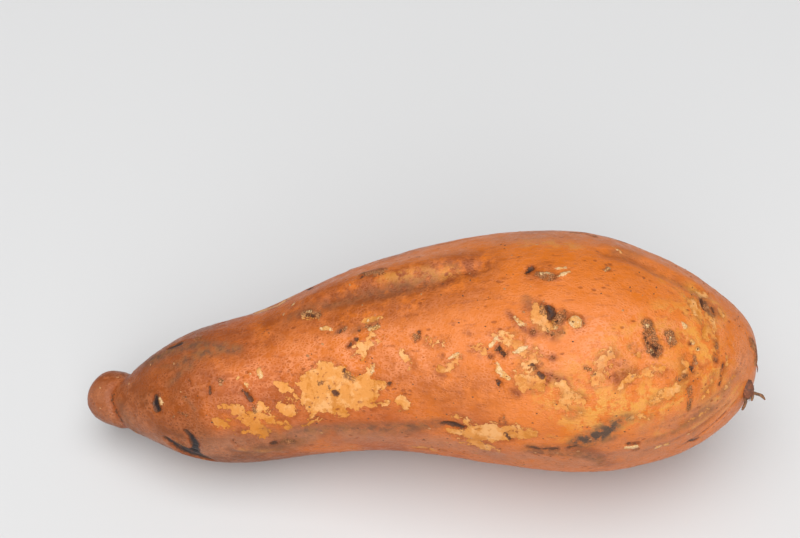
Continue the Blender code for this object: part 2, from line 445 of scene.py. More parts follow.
STEM_END_MARKS = (
    # the collar where the stub joins the neck
    raised(-0.75, (17, 100, 3.0), (14.2, 76, 3.0), (13.6, 50, 3.0), (14.8, 24, 3.0), (16.2, 0, 3.0),
         (18, -30, 3.0), (19, -70, 3.0), (20, -110, 3.0), (20, -150, 3.0), (19, -190, 3.0),
         (18, -230, 3.0), (17, -260, 3.0)),
    tint(Kind.RUST, 1.6, (17, 100, 1.2), (14.2, 76, 1.4), (13.6, 50, 1.4), (14.8, 24, 2.0),
         (16.4, 0, 2.0), (18, -30, 1.8)),
    hole((14.0, 60, 0.35), (13.6, 46, 0.4), (14.5, 28, 0.45), (15.8, 8, 0.5),
         (17.2, -14, 0.4), relief=-0.15),
    tint(Kind.DIRT, 0.40, (16.4, 44, 1.6), (18.0, 20, 2.8), (19.4, 0, 3.0), (21, -20, 3.0)),
    tint(Kind.RUST, 0.8, (2, 48, 14), (6, 48, 15), (10, 48, 14)),
    raised(0.28, (12.0, 84, 1.2), (11.6, 50, 1.3), (12.6, 20, 1.3), (14.0, -10, 1.2)),
    # the pit on the neck, with its healed lip, partly a painted highlight
    hole((29.0, 49, 1.6), (28.9, 41, 2.3), (29.8, 33, 2.0), relief=-0.9),
    pale((29.9, 46, 1.5), (30.6, 41, 2.1), relief=0.2),
    # the forked slot of dry rot
    hole((31.6, 358, 1.4), (33.4, 353, 3.2), (36.4, 346, 5.2), (39.8, 339, 6.6),
         (43.2, 332, 5.2), relief=-1.0),
    hole((33.6, 349, 1.4), (36.6, 341, 2.2), (41.0, 333, 2.2), relief=-0.2),
    hole((38.3, 14, 1.2), (39.8, 8, 2.3), (40.8, 0, 2.7), (40.4, 350, 3.2), relief=-0.8),
    cork((34.6, 1, 1.6), (37.4, 355, 1.8), relief=0.1),
    pale((40.4, 9, 0.5), (41.0, 5, 0.5)),
    hole((31.5, 111, 1.3), (34.8, 109, 2.2), relief=-0.4),
    cork((39.2, 108, 1.8), (40.6, 106, 2.0)),
    hole((38.9, 64, 0.4), (39.4, 58, 0.6), relief=-0.3),
    hole((45.7, 53, 0.4), (45.9, 48, 0.6), relief=-0.3),
    tint(Kind.RUST, 1.0, (38.4, 66, 0.8), (39.6, 56, 1.0), (40.4, 50, 0.7)),
    tint(Kind.RUST, 0.9, (45.4, 54, 0.8), (46.0, 46, 0.9)),
    hole((52.4, 6, 0.8), (53.4, 1, 0.7), relief=-0.2),
    cork((34.8, 28, 1.2)),
    cork((36.4, 33, 0.8), (38.0, 30, 0.8)),
    # smears on the shoulder
    tint(Kind.DIRT, 0.85, (27, 104, 5), (33, 103, 5), (41, 96, 4), (46, 90, 3)),
    tint(Kind.DIRT, 0.85, (36, 80, 3), (42, 85, 4), (49, 87, 4), (53, 82, 3)),
    tint(Kind.DIRT, 0.60, (33, 60, 1.8), (36, 68, 2.4), (39, 74, 3)),
    tint(Kind.RUST, 0.65, (34, 50, 10), (46, 44, 12), (53, 38, 9)),
    # the gash, with painted glints on its edges
    hole((55.4, 47, 0.7), (56.6, 43, 1.3), (58.0, 37, 1.2), relief=-0.6),
    cork((58.4, 33, 1.8), (59.0, 28, 1.5), relief=0.0),
    pale((56.2, 52, 0.9), (57.3, 47, 0.7)),
    pale((54.2, 44, 0.8)),
    pale((53.8, 57, 0.8)),
    pale((57.6, 58, 0.7)),
    pale((60.0, 60, 1.7), (60.8, 54, 1.1)),
    tint(Kind.RUST, 1.0, (47.0, 58, 2.6), (49.4, 57, 2.4)),
    cork((47.8, 59, 0.8), (49.0, 57, 0.9), relief=0.05),
    # Painted sheen over the lit shoulder of the lobe.
    tint(Kind.PINK_AND_SHEEN, 0.8, (50, 58, 8), (62, 56, 9), (74, 60, 12)),
    tint(Kind.RUST, 0.7, (24, 70, 6), (30, 62, 7), (36, 66, 6), (44, 72, 7), (56, 80, 7),
         (68, 88, 6)),
    tint(Kind.RUST, 0.8, (20, 96, 7), (30, 96, 8), (42, 100, 8), (56, 98, 8), (70, 100, 8)),
    tint(Kind.RUST, 0.5, (22, 10, 6), (30, 20, 7), (38, 26, 6)),
    tint(Kind.RUST, 0.6, (33, 42, 2), (34.5, 36, 3), (34, 30, 2)),
    tint(Kind.DIRT, 0.5, (37.6, 46, 0.8), (40.2, 39, 1.0), (41.4, 34, 0.6)),
    tint(Kind.DIRT, 0.4, (30, 84, 1.5), (33, 78, 2.0), (38, 77, 1.4)),
    # the low front of the lobe
    hole((64.2, 357, 2.2), relief=-0.5),
    cork((66.8, 358, 2.0), (71, 355, 1.6), relief=0.0),
    tint(Kind.DIRT, 0.55, (58, 352, 4), (66, 352, 5), (74, 356, 5)),
    tint(Kind.DIRT, 0.45, (62, 14, 2.4), (66, 2, 3.2), (72, 358, 3)),
    raised(0.30, (53, 357, 1.6), (60, 351, 1.6), (67, 347, 1.4)),
    tint(Kind.GOLD, 0.5, (54, 356, 1.2), (60, 351, 1.4), (66, 347, 1.2)),
)

SCRAPED_PATCHES = (
    # over the lobe
    scrape((49.6, 36, 2.2), (52.8, 32, 3.0), (56.4, 27, 3.4), (59.6, 26, 3.0), (61.0, 31, 3.4)),
    scrape((60.4, 25, 3.2), (63.4, 21, 3.0), (66.2, 15.5, 2.6), (68.8, 9.5, 1.4)),
    scrape((57.2, 22, 2.8), (58.8, 15, 3.0), (61.4, 10.5, 3.0), (62.6, 6, 1.4)),
    scrape((53.6, 13, 1.0), (57.6, 15, 1.6)),
    scrape((53.2, 31, 3.2), (56.4, 25.5, 3.8), (58.8, 19, 3.4), (60.6, 25, 3.4)),
    scrape((48.0, 25, 3.2), (50.2, 22, 2.6)),
    scrape((65.9, 47, 1.4), (67.6, 41, 2.6), (69.8, 36, 2.6), (71.4, 32, 1.6)),
    scrape((66.4, 29, 2.2), (69.0, 24, 3.2), (70.8, 20, 1.6)),
    scrape((73.0, 27, 1.2)),
    # the great patch over the waist
    scrape((74, 42, 5.5), (79, 42, 9.0), (83, 35, 9.5), (87, 28, 9.0), (92, 29, 7.5),
         (95.4, 31, 3.4)),
    scrape((75.6, 36, 7.0), (79.5, 27, 8.5), (83.5, 20, 6.5), (85.2, 13.5, 2.4)),
    scrape((74.2, 28, 2.2), (76.2, 21, 4.4), (75.8, 14, 1.4)),
    scrape((90.8, 36, 4.0), (92.8, 40, 2.8)),
    scrape((86, 22, 6.0), (91, 23, 5.4)),
    scrape((72.6, 8.5, 1.0), (75.6, 10.5, 1.7), (78.6, 13.5, 0.9)),
    scrape((91.2, 16, 0.9), (94, 17.3, 1.7), (97.4, 18.4, 1.4)),
    scrape((101.8, 21, 2.8), (102.8, 16.5, 2.4)),
    scrape((88.2, 51.5, 1.2), (91.0, 54, 3.8), (92.6, 61, 1.6)),
    scrape((87.4, 58, 1.2), (91, 54, 3.2), (95.4, 57.5, 1.3)),
    scrape((91, 54, 3.4), (91.0, 48, 1.4)),
    scrape((102.2, 48, 1.0), (103.4, 43.5, 1.5), (104.6, 40, 1.9)),
    # along the middle
    scrape((109.5, 52, 2.0), (112, 50, 1.2)),
    scrape((113.8, 51.4, 2.4)),
    scrape((121.8, 47.5, 1.6), (124.2, 46, 2.6)),
    scrape((113.4, 37.0, 3.2), (116.2, 39.6, 2.6), (117.8, 42.4, 1.4)),
    scrape((128.0, 54.6, 1.4), (130.4, 54.0, 1.8)),
    scrape((130.8, 51.5, 2.6), (134.2, 49.4, 4.2)),
    scrape((136.0, 46.6, 2.8), (138.6, 43.6, 4.6), (136.6, 38.6, 2.6)),
    scrape((133.6, 34.8, 1.6), (136.2, 31.4, 5.0), (140.0, 31.6, 4.6), (142.4, 33.5, 1.6)),
    scrape((147.6, 27.5, 2.2)),
    # under the middle
    scrape((115.6, 1.0, 1.4), (119, 359.5, 3.6), (123, 1, 7.4), (128, 3, 7.6), (133, 5, 6.2),
           (138.6, 5.2, 2.6)),
    scrape((121, 355, 3.6), (125.5, 352, 4.0), (129, 350, 2.0)),
    scrape((117.6, 11.4, 1.2), (119.4, 9.2, 2.6), (121.2, 6.4, 3.0)),
    scrape((105, 341, 0.9), (109, 340.6, 1.5), (114, 340, 1.0)),
    # on the bulb
    scrape((139.2, 69, 2.2), (140.6, 62, 4.6), (142.2, 57.4, 3.6), (145.6, 58.6, 1.4)),
    scrape((160.2, 48.0, 2.2), (158.0, 43.0, 4.0), (156.8, 36.5, 3.6), (155.8, 32.6, 2.0)),
    scrape((162.4, 31.4, 1.2), (164.8, 35.6, 1.9), (168, 39.2, 2.0), (171.6, 40.8, 2.2),
         (175, 41.4, 1.6)),
    scrape((172.4, 24.8, 1.6), (176, 28.4, 3.2), (179.6, 32.2, 3.0)),
    scrape((181.2, 47.6, 2.4), (182.0, 41.4, 1.9)),
    scrape((188.0, 23.6, 0.7), (190.0, 27.6, 1.5), (191.2, 31.4, 0.8)),
    scrape((146.6, 31.4, 3.0), (148.2, 27.4, 4.4), (151.6, 25.4, 3.0)),
    scrape((146.2, 22.0, 2.2), (149.4, 17.6, 2.0), (152.0, 19.0, 1.4)),
    scrape((164.0, 15.6, 1.0), (168.0, 17.4, 1.4), (171.8, 16.6, 1.0)),
    scrape((166.2, 51.4, 1.4), (168.4, 49.0, 1.2)),
    # the halo and the drips of the far eye
    scrape((192.0, 99, 2.2), (187.6, 93, 2.6), (185.8, 85, 2.8), (188.0, 77.4, 2.8),
         (190.2, 71, 3.4),
           (189.4, 62, 2.0)),
    scrape((191.6, 78.4, 3.0), (192.8, 71, 3.0), (192.6, 63.4, 1.8)),
    scrape((196.4, 90, 1.2), (197.2, 85, 1.4)),
    tint(Kind.GOLD, 1.1, (202, 40, 1.4), (199.6, 31, 2.2), (197.0, 25, 2.6), (193.0, 18.6, 2.6),
         (187.4, 12.4, 2.8),
         (181.0, 8.0, 2.6), (175.0, 6.0, 1.8)),
    tint(Kind.GOLD, 0.9, (205, 36, 1.2), (202.6, 24, 1.8), (199.4, 15.6, 2.0),
         (193.0, 8.4, 1.8), (186, 3, 1.6)),
    tint(Kind.GOLD, 0.8, (205.4, 20, 1.2), (201.6, 10, 1.6), (196.0, 3.4, 1.4)),
    scrape((201.0, 35, 0.5), (198.4, 28, 0.7), (195.4, 22.6, 0.6)),
    scrape((190.4, 14, 0.6), (185.4, 10.0, 0.8), (181.0, 8.0, 0.5)),
    scrape((198.2, 47.0, 1.0), (196.6, 39.5, 0.8)),
    scrape((192.0, 36.4, 0.8), (191.0, 31.8, 0.9)),
)

SCABS_AND_HOLES = (
    # the waist
    hole((82.2, 30.4, 1.0), (83.0, 28.6, 1.3), relief=-0.1),
    cork((80.6, 33.0, 1.1), relief=0.0),
    cork((78.0, 37.4, 1.0), relief=0.0),
    cork((77.4, 27.0, 1.0), relief=0.0),
    cork((86.2, 38.8, 2.4), (87.6, 35.6, 1.6), relief=0.0),
    hole((85.2, 42.5, 1.0), relief=-0.1),
    pale((93.6, 41.4, 1.0), (93.4, 38.6, 1.2)),
    hole((98.4, 30.4, 0.9), relief=-0.2),
    # the eyes on the back
    cork((72.2, 94.6, 1.2), (74.6, 91.6, 1.9), (77.2, 86.6, 1.4), relief=0.3),
    scrape((72.0, 93.0, 1.0), (74.2, 89.6, 1.4), (76.8, 85.2, 1.1)),
    pale((73.0, 94.6, 0.4), (75.0, 92.0, 0.5)),
    hole((73.6, 91.0, 0.7), (76.0, 87.4, 0.6), relief=-0.2),
    scrape((91.6, 71.0, 1.1), (93.0, 71.6, 0.9), (95.0, 70.6, 1.2)),
    pale((92.0, 71.0, 0.5), relief=0.3),
    pale((94.8, 70.6, 0.5), relief=0.3),
    cork((91.0, 67.4, 0.8), (94.6, 65.8, 1.2), relief=-0.1),
    pale((92.2, 65.4, 0.9), (95.0, 65.0, 0.8)),
    pale((78.6, 76.0, 1.0), (81.2, 72.8, 1.2), relief=0.1),
    cork((84.0, 74.6, 1.2), (85.0, 71.0, 1.4), relief=0.1),
    hole((83.6, 69.4, 1.2), relief=-0.2),
    hole((86.6, 58.2, 1.5), relief=-0.2),
    hole((88.6, 60.6, 1.1), relief=-0.15),
    hole((89.6, 66.2, 1.0), relief=-0.15),
    cork((89.6, 108, 1.4), (92.4, 105, 3.4), (95.6, 104, 2.4), relief=0.2),
    hole((89.4, 104.6, 1.2), relief=-0.3),
    pale((69.0, 108, 1.2), relief=0.0),
    cork((104.8, 57.4, 1.0), (106.0, 54.4, 1.6), relief=0.1),
    hole((106.6, 57.6, 0.7), relief=-0.1),
    # the middle
    hole((113.0, 44.0, 1.0), relief=-0.1),
    pale((114.6, 42.2, 0.6), (116.2, 43.6, 1.0), (117.8, 45.0, 0.5), relief=0.3),
    hole((129.0, 49.0, 0.8), (129.4, 46.0, 1.5), (130.4, 44.2, 1.0), relief=-0.4),
    cork((128.6, 47.6, 1.4), (130.8, 45.4, 1.6), relief=0.05),
    hole((126.8, 43.4, 1.2), relief=-0.2),
    pale((127.0, 49.0, 1.4), (128.4, 52.2, 1.2)),
    pale((128.6, 40.6, 1.2), (129.2, 36.4, 1.6), (131.8, 33.6, 1.0), relief=0.1),
    hole((128.4, 32.0, 0.9), (129.2, 30.4, 1.7), relief=-0.5),
    pale((132.8, 45.4, 0.6), (135.0, 46.9, 1.5), (137.4, 48.8, 0.5), relief=0.45),
    pale((133.4, 62.8, 1.0), (134.4, 60.4, 1.8), (136.2, 58.0, 1.3), relief=0.4),
    hole((137.2, 39.6, 0.8), (138.8, 40.2, 1.0), relief=-0.2),
    cork((139.0, 38.8, 1.0), (140.6, 40.6, 0.7)),
    hole((140.0, 36.4, 1.0), (141.2, 35.0, 1.3), relief=-0.2),
    hole((143.4, 35.4, 0.7), relief=-0.1),
    hole((144.8, 34.6, 0.5), (145.8, 33.8, 0.6), relief=-0.1),
    hole((142.6, 33.0, 0.5), relief=-0.1),
    tint(Kind.RUST, 1.1, (141.6, 36.4, 2.6), (144.6, 34.4, 3.4), (147.4, 33.0, 2.6)),
    # under the middle
    hole((113.6, 5.8, 1.0), (117.0, 5.2, 1.8), (120.4, 4.2, 1.2), relief=-0.7),
    hole((131.6, 3.4, 1.2), (132.8, 0.4, 1.3), relief=-0.3),
    cork((130.4, 14.0, 1.2), (130.8, 10.6, 1.7), relief=0.0),
    hole((138.0, 356, 0.6), (142, 355, 1.0), (147, 357, 0.7), relief=-0.3),
    hole((140.0, 351, 0.6), (145.0, 351.6, 0.8), relief=-0.2),
    hole((149.6, 358.4, 0.7), (151.8, 359.4, 0.9), relief=-0.2),
    # the long scar on the bulb's shoulder
    hole((137.4, 88.0, 1.8), (138.6, 90.4, 1.8), relief=-0.7),
    cork((139.8, 86.4, 1.6), (142.8, 84.6, 2.4), (146.0, 84.4, 1.4), relief=0.15),
    pale((141.0, 86.6, 0.8), (144.2, 86.0, 0.7)),
    pale((145.8, 83.8, 0.9), (147.8, 86.2, 1.5), (149.4, 88.0, 0.8), relief=0.3),
    pale((145.0, 89.6, 0.8), (148.4, 90.8, 0.8)),
    # the great scab
    hole((142.8, 68.0, 1.6), (143.8, 64.6, 2.4), (143.2, 61.8, 1.2), relief=-1.0),
    cork((141.6, 68.6, 1.8), (141.2, 64.6, 1.6), relief=0.25),
    cork((146.8, 63.4, 3.2), (145.0, 59.8, 3.0), relief=0.30),
    hole((146.4, 63.6, 0.7), (147.6, 62.0, 0.8), relief=-0.2),
    hole((145.2, 60.4, 0.7), relief=-0.2),
    cork((142.2, 57.0, 1.3), (143.6, 54.6, 1.3), (146.2, 55.6, 1.6), relief=0.15),
    tint(Kind.GOLD, 1.0, (141.6, 58.0, 3.6), (145.6, 56.4, 3.6)),
    tint(Kind.RUST, 0.9, (140.6, 56.0, 3.0), (144.6, 53.8, 3.0)),
    hole((142.4, 54.4, 1.0), (143.6, 53.2, 0.9), relief=-0.2),
    cork((138.6, 55.2, 1.7), relief=0.15),
    tint(Kind.RUST, 1.2, (138.4, 55.0, 3.0)),
    pale((144.8, 57.2, 1.2)),
    # the root button
    raised(-0.35, (150.4, 60.2, 6.4)),
    pale((150.2, 60.6, 4.0), relief=1.35),
    hole((149.7, 60.3, 0.8), relief=-0.6),
    # Painted shadow: a dark rim round the button's upper and tail side.
    cork((148.6, 64.2, 0.7), (150.4, 64.6, 0.8), (152.0, 62.6, 0.8),
         (152.4, 60.2, 0.7), relief=0.0),
    # scabs towards the tail
    cork((171.0, 64.8, 3.0), (171.2, 61.0, 3.6), (171.6, 56.4, 4.2),
         (172.6, 51.4, 4.8), relief=0.20),
    hole((171.4, 49.6, 0.6), (173.0, 48.6, 0.7), (174.4, 50.4, 0.6), relief=-0.2),
    hole((172.2, 53.6, 1.0), (173.4, 51.6, 1.5), relief=-0.7),
    pale((171.8, 51.0, 0.7), (172.0, 49.6, 0.8)),
    pale((170.6, 63.4, 1.2), relief=0.05),
    hole((170.2, 57.0, 0.7), (170.8, 54.8, 0.8), relief=-0.2),
    cork((177.2, 60.4, 2.6), (177.6, 56.0, 2.6), relief=0.24),
    pale((177.3, 58.6, 0.9), (177.6, 57.0, 0.8), relief=0.05),
    pale((181.4, 68.4, 0.9), (182.4, 66.4, 1.2), relief=0.35),
    pale((183.6, 58.8, 1.2), (184.8, 57.0, 1.1), relief=0.35),
    hole((183.6, 56.4, 0.8), relief=-0.1),
    pale((186.2, 53.4, 1.4), relief=0.2),
    hole((186.2, 53.4, 0.6), relief=-0.2),
    hole((183.8, 42.0, 1.4), (184.2, 40.0, 1.6), relief=-0.3),
    cork((184.6, 48.6, 0.8), (184.8, 44.6, 1.0), relief=0.0),
    cork((180.0, 36.6, 1.6), (182.2, 37.4, 1.4), relief=0.0),
    cork((183.2, 31.4, 1.0), (183.6, 25.0, 1.2), (183.4, 17.4, 0.8), relief=-0.25),
    cork((193.4, 58.0, 0.9), (193.6, 55.4, 0.8)),
    cork((192.6, 47.6, 1.8), relief=0.1),
    tint(Kind.RUST, 1.0, (193.2, 60.0, 1.6), (193.0, 52.0, 2.0), (192.8, 46.0, 3.0)),
    hole((193.0, 46.0, 1.0), relief=-0.2),
    hole((195.8, 44.0, 0.5), (195.2, 36.6, 0.6), (194.2, 29.6, 0.5), relief=-0.25),
    cork((190.4, 91.0, 2.6), (191.4, 87.0, 3.6), (192.8, 83.0, 2.6), relief=-0.5),
    hole((190.2, 92.4, 1.2), (189.6, 88.6, 1.3), (190.4, 84.0, 1.2), relief=-0.5),
    hole((193.8, 88.6, 1.0), (194.0, 84.4, 1.1), relief=-0.3),
    # Painted glint on the rim of the far eye.
    pale((191.8, 89.4, 0.6), (192.2, 85.6, 0.7), relief=0.3),
    hole((185.8, 348.4, 1.0), (188.2, 347.0, 1.2), relief=-0.3),
    cork((210.6, 74, 2.0), (212.6, 66, 3.0), (213.6, 52, 3.0), (212.6, 40, 1.8), relief=0.4),
    hole((213.4, 63, 1.4), (213.6, 54, 1.3), relief=-0.1),
    cork((160.4, 93.0, 1.8), relief=0.15),
    pale((160.0, 92.0, 0.7), (161.0, 93.4, 0.6)),
    cork((143.8, 43.6, 1.0), relief=0.05),
    tint(Kind.RUST, 1.3, (143.8, 43.6, 2.4)),
    cork((157.0, 127, 1.6), (158.6, 125, 1.2), relief=0.1),
    cork((162.0, 132, 1.2), (168.0, 132, 1.4), relief=0.1),
    pale((166.2, 358.0, 1.3), (168.2, 357.6, 1.7), (169.8, 358.2, 1.1), relief=0.3),
    hole((166.6, 0.6, 0.6), (169.6, 0.4, 0.7), relief=-0.2),
    cork((169.0, 355.2, 1.6), relief=0.0),
    pale((174.4, 352.4, 0.5), (176.4, 354.0, 0.6), (179.0, 354.6, 0.5)),
    pale((162.4, 112, 0.8), (165.2, 110, 0.9)),
    cork((155.2, 37.6, 0.7)),
    cork((153.0, 40.2, 0.7), (153.8, 39.8, 0.6)),
    hole((161.2, 37.8, 0.6), relief=-0.1),
    hole((162.0, 35.6, 0.7), relief=-0.1),
    hole((163.8, 38.6, 0.5), relief=-0.1),
    hole((160.0, 36.2, 0.5), relief=-0.1),
)

FORM_AND_TINT = (
    # the ridge along the back and the crease in front of it
    raised(1.3, (74, 106, 6), (84, 104, 8), (94, 103, 9), (106, 102, 9), (118, 102, 6)),
    raised(-1.2, (80, 95, 3.5), (90, 91.5, 5), (100, 89.5, 6), (112, 91, 6), (124, 94, 4)),
    # the crease over the bulb's shoulder
    raised(-0.8, (160, 106, 3), (168, 107, 4), (176, 103.5, 4), (184, 101, 4), (190, 99, 3)),
    raised(0.5, (164, 114, 6), (176, 112, 7), (186, 108, 5)),
    # the long hollow under the waist
    raised(-0.55, (70, 3, 3), (82, 1, 4), (96, 0, 4), (108, 2, 4), (116, 5.5, 3)),
    raised(-0.35, (120, 340, 4), (140, 345, 5), (160, 350, 4), (176, 352, 3)),
    raised(0.35, (118, 24, 9), (132, 18, 10)),
    raised(-0.4, (126, 44, 4), (128, 52, 5)),
    raised(-0.3, (186, 24, 3), (192, 30, 4), (198, 40, 3)),
    raised(0.3, (176, 36, 8), (184, 28, 7)),
    # Rust-brown along the crease: partly the skin's colour, partly painted shade and a painted cast
    # shadow.
    tint(Kind.RUST, 1.2, (70, 99, 5), (80, 96, 8), (90, 93, 10), (100, 90, 12), (112, 92, 12),
         (124, 96, 10)),
    tint(Kind.RUST, 0.8, (76, 82, 5), (84, 78, 8), (92, 76, 9), (100, 74, 8), (108, 74, 7)),
    tint(Kind.DIRT, 0.55, (68, 96, 2), (78, 93, 3), (88, 91, 4), (98, 89, 5), (110, 90, 5)),
    tint(Kind.DIRT, 0.40, (82, 70, 2), (88, 67, 2.4), (94, 69, 2)),
    tint(Kind.GOLD, 0.6, (96, 98, 3), (106, 95, 4), (116, 93, 4)),
    # Grey-pink along the lower front band: painted sheen, with dust.
    tint(Kind.DUST_AND_SHEEN, 1.0, (26, 346, 5), (40, 352, 7), (52, 4, 8), (66, 360, 9), (80, 355, 8),
         (96, 352, 7)),
    tint(Kind.DUST_AND_SHEEN, 0.9, (96, 352, 7), (112, 350, 8), (130, 344, 9), (150, 346, 10),
         (170, 350, 9), (186, 356, 7)),
    tint(Kind.DUST_AND_SHEEN, 0.8, (172, 8, 6), (184, 10, 8), (196, 20, 8), (204, 36, 7), (208, 56, 6)),
    tint(Kind.DUST_AND_SHEEN, 0.6, (8, 60, 8), (10, 20, 8), (18, 10, 7), (26, 360, 6)),
    tint(Kind.DUST_AND_SHEEN, 0.7, (158, 2, 5), (170, 0, 6), (182, 2, 6)),
    tint(Kind.DUST_AND_SHEEN, 0.5, (130, 118, 8), (150, 118, 9), (168, 116, 7)),
    tint(Kind.RUST, 0.5, (4, 60, 9), (12, 60, 8)),
    tint(Kind.RUST, 0.6, (98, 80, 12), (110, 80, 14), (122, 82, 12)),
    tint(Kind.RUST, 0.5, (100, 36, 8), (112, 28, 12), (124, 26, 12)),
    tint(Kind.RUST, 0.55, (64, 34, 7), (72, 26, 4), (66, 16, 4)),
    tint(Kind.RUST, 0.5, (162, 105, 5), (172, 105, 5), (182, 101, 5), (190, 99, 5)),
    # Painted shadow: a dark crescent beside the root button, on its tail side.
    tint(Kind.RUST, 0.9, (152.4, 62.5, 1.6), (152.6, 59.0, 2.0), (150.8, 56.8, 1.6)),
    tint(Kind.RUST, 0.6, (176, 62, 5), (182, 60, 5)),
    tint(Kind.RUST, 1.1, (132.6, 27.8, 1.8), (134.4, 26.0, 2.4)),
    tint(Kind.RUST, 1.1, (133.4, 55.4, 2.0)),
    tint(Kind.RUST, 1.2, (131.6, 65.2, 1.6), (133.2, 61.4, 1.8), (135.0, 58.0, 2.0),
         (136.8, 55.8, 1.6)),
    tint(Kind.RUST, 0.8, (137.2, 67.0, 4.0), (140.0, 65.6, 3.2)),
    tint(Kind.RUST, 1.0, (119.6, 56.4, 1.6), (121.0, 55.0, 1.4)),
    tint(Kind.RUST, 1.0, (160.2, 48.0, 2.6), (162.6, 44.0, 4.0), (164.6, 40.0, 4.6),
         (161.8, 36.0, 4.0)),
    tint(Kind.RUST, 0.55, (178, 40, 4), (184, 36, 6), (192, 42, 6)),
    tint(Kind.RUST, 0.6, (142, 88, 7), (139, 84, 5)),
    tint(Kind.DIRT, 0.75, (70, 4, 3), (80, 2, 4), (92, 0, 4), (104, 1, 5), (112, 5, 4)),
    tint(Kind.DIRT, 1.7, (151.6, 2.8, 3.0), (154.8, 4.4, 4.6), (158.2, 7.2, 4.8),
         (161.3, 11.0, 3.6)),
    tint(Kind.DIRT, 1.1, (158.0, 9.6, 3.6), (162.2, 13.6, 4.2), (165.2, 16.6, 3.0)),
    tint(Kind.DIRT, 0.9, (149.6, 0.6, 1.8), (153.4, 0.0, 3.0), (157.6, 2.4, 3.0),
         (161.4, 5.6, 2.6)),
    tint(Kind.DIRT, 0.75, (138, 353, 2.4), (147, 354, 3.4), (154, 353, 3.8), (158.6, 349, 3.2),
         (159.6, 343, 2.4)),
    tint(Kind.RUST, 1.2, (150, 357, 3), (155.6, 355, 5), (159.6, 350, 6), (161.0, 343, 5),
         (160, 336, 4)),
    tint(Kind.DIRT, 0.6, (138, 357, 2), (144, 357, 2.4), (150, 359, 2.0)),
    tint(Kind.DIRT, 0.4, (163, 109, 3), (170, 112, 3)),
    tint(Kind.DIRT, 0.5, (136.6, 72, 2.6), (138.0, 69, 2.4)),
    tint(Kind.DIRT, 0.5, (172, 1, 1.6), (180, 4, 2.2), (188, 9, 2.2), (195, 15, 1.6)),
    tint(Kind.DIRT, 0.4, (186, -2, 1.2), (193, 4, 1.4), (199, 11, 1.2)),
    tint(Kind.DIRT, 0.4, (190, 16, 1.6), (186, 12, 2)),
    raised(-0.22, (172, -8, 0.8), (181, -3, 0.9), (190, 3, 0.9), (198, 11, 0.7)),
    raised(-0.22, (182, -14, 0.8), (190, -7, 0.9), (197, 1, 0.8), (202, 8, 0.6)),
    raised(-0.18, (178, 12, 0.7), (187, 17, 0.8), (195, 24, 0.7)),
    tint(Kind.RUST, 1.1, (172, -8, 0.7), (181, -3, 0.8), (190, 3, 0.8), (198, 11, 0.6)),
    tint(Kind.RUST, 1.1, (182, -14, 0.7), (190, -7, 0.8), (197, 1, 0.7), (202, 8, 0.5)),
    tint(Kind.RUST, 0.9, (178, 12, 0.5), (187, 17, 0.6), (195, 24, 0.5)),
    tint(Kind.DIRT, 0.7, (190.4, 92, 2.6), (192.2, 88, 4.2), (194.6, 84, 2.8)),
    tint(Kind.DIRT, 0.4, (164, 109, 2.4), (166, 106, 2.0)),
    tint(Kind.GOLD, 1.2, (143, 28, 8), (150, 26, 11), (158, 22, 12), (166, 23, 12),
         (174, 26, 11), (181, 30, 8)),
    tint(Kind.GOLD, 1.0, (146, 16, 4), (152, 13, 5), (160, 14, 7), (168, 16, 6)),
    tint(Kind.GOLD, 1.1, (188, 96, 6), (186.5, 88, 8), (189, 78, 8), (190, 68, 5)),
    tint(Kind.GOLD, 0.9, (195, 94, 5), (197, 86, 5), (196, 78, 4)),
    tint(Kind.GOLD, 0.6, (138, 112, 5), (146, 110, 5), (152, 108, 3)),
    tint(Kind.GOLD, 0.6, (174, 20, 5), (180, 18, 4)),
    tint(Kind.GOLD, 0.6, (133, 50, 5), (138, 44, 6), (138, 34, 5)),
    tint(Kind.GOLD, 0.9, (184, 62, 9), (189, 52, 10), (191, 40, 10), (188, 30, 8)),
    tint(Kind.GOLD, 0.6, (170, 30, 18), (180, 34, 20), (192, 34, 16)),
    # Pink, partly painted sheen, over the tail end.
    tint(Kind.PINK_AND_SHEEN, 0.7, (198, 70, 10), (203, 45, 14), (204, 20, 12), (198, 5, 8)),
    tint(Kind.PINK_AND_SHEEN, 0.6, (176, 60, 8), (182, 66, 8)),
    tint(Kind.GOLD, 0.7, (176, 74, 6), (184, 76, 7), (192, 74, 6)),
    tint(Kind.GOLD, 0.6, (150, 40, 6), (166, 58, 8), (176, 66, 7)),
    tint(Kind.RUST, 0.7, (186, 44, 2), (188, 40, 3), (186.5, 36, 2)),
    tint(Kind.GOLD, 0.6, (144, 4, 2), (150, 3, 2.6)),
    tint(Kind.GOLD, 0.45, (176, 98, 4), (182, 94, 4)),
    # Painted sheen along the lit top of the lobe and the bulb.
    tint(Kind.PINK_AND_SHEEN, 1.0, (78, 58, 12), (90, 52, 14), (102, 50, 14), (112, 44, 12)),
    tint(Kind.PINK_AND_SHEEN, 0.9, (126, 46, 10), (140, 50, 12), (152, 52, 16), (164, 56, 16),
         (172, 48, 10)),
    tint(Kind.PINK_AND_SHEEN, 0.7, (196, 58, 9), (202, 46, 10), (206, 34, 8)),
)


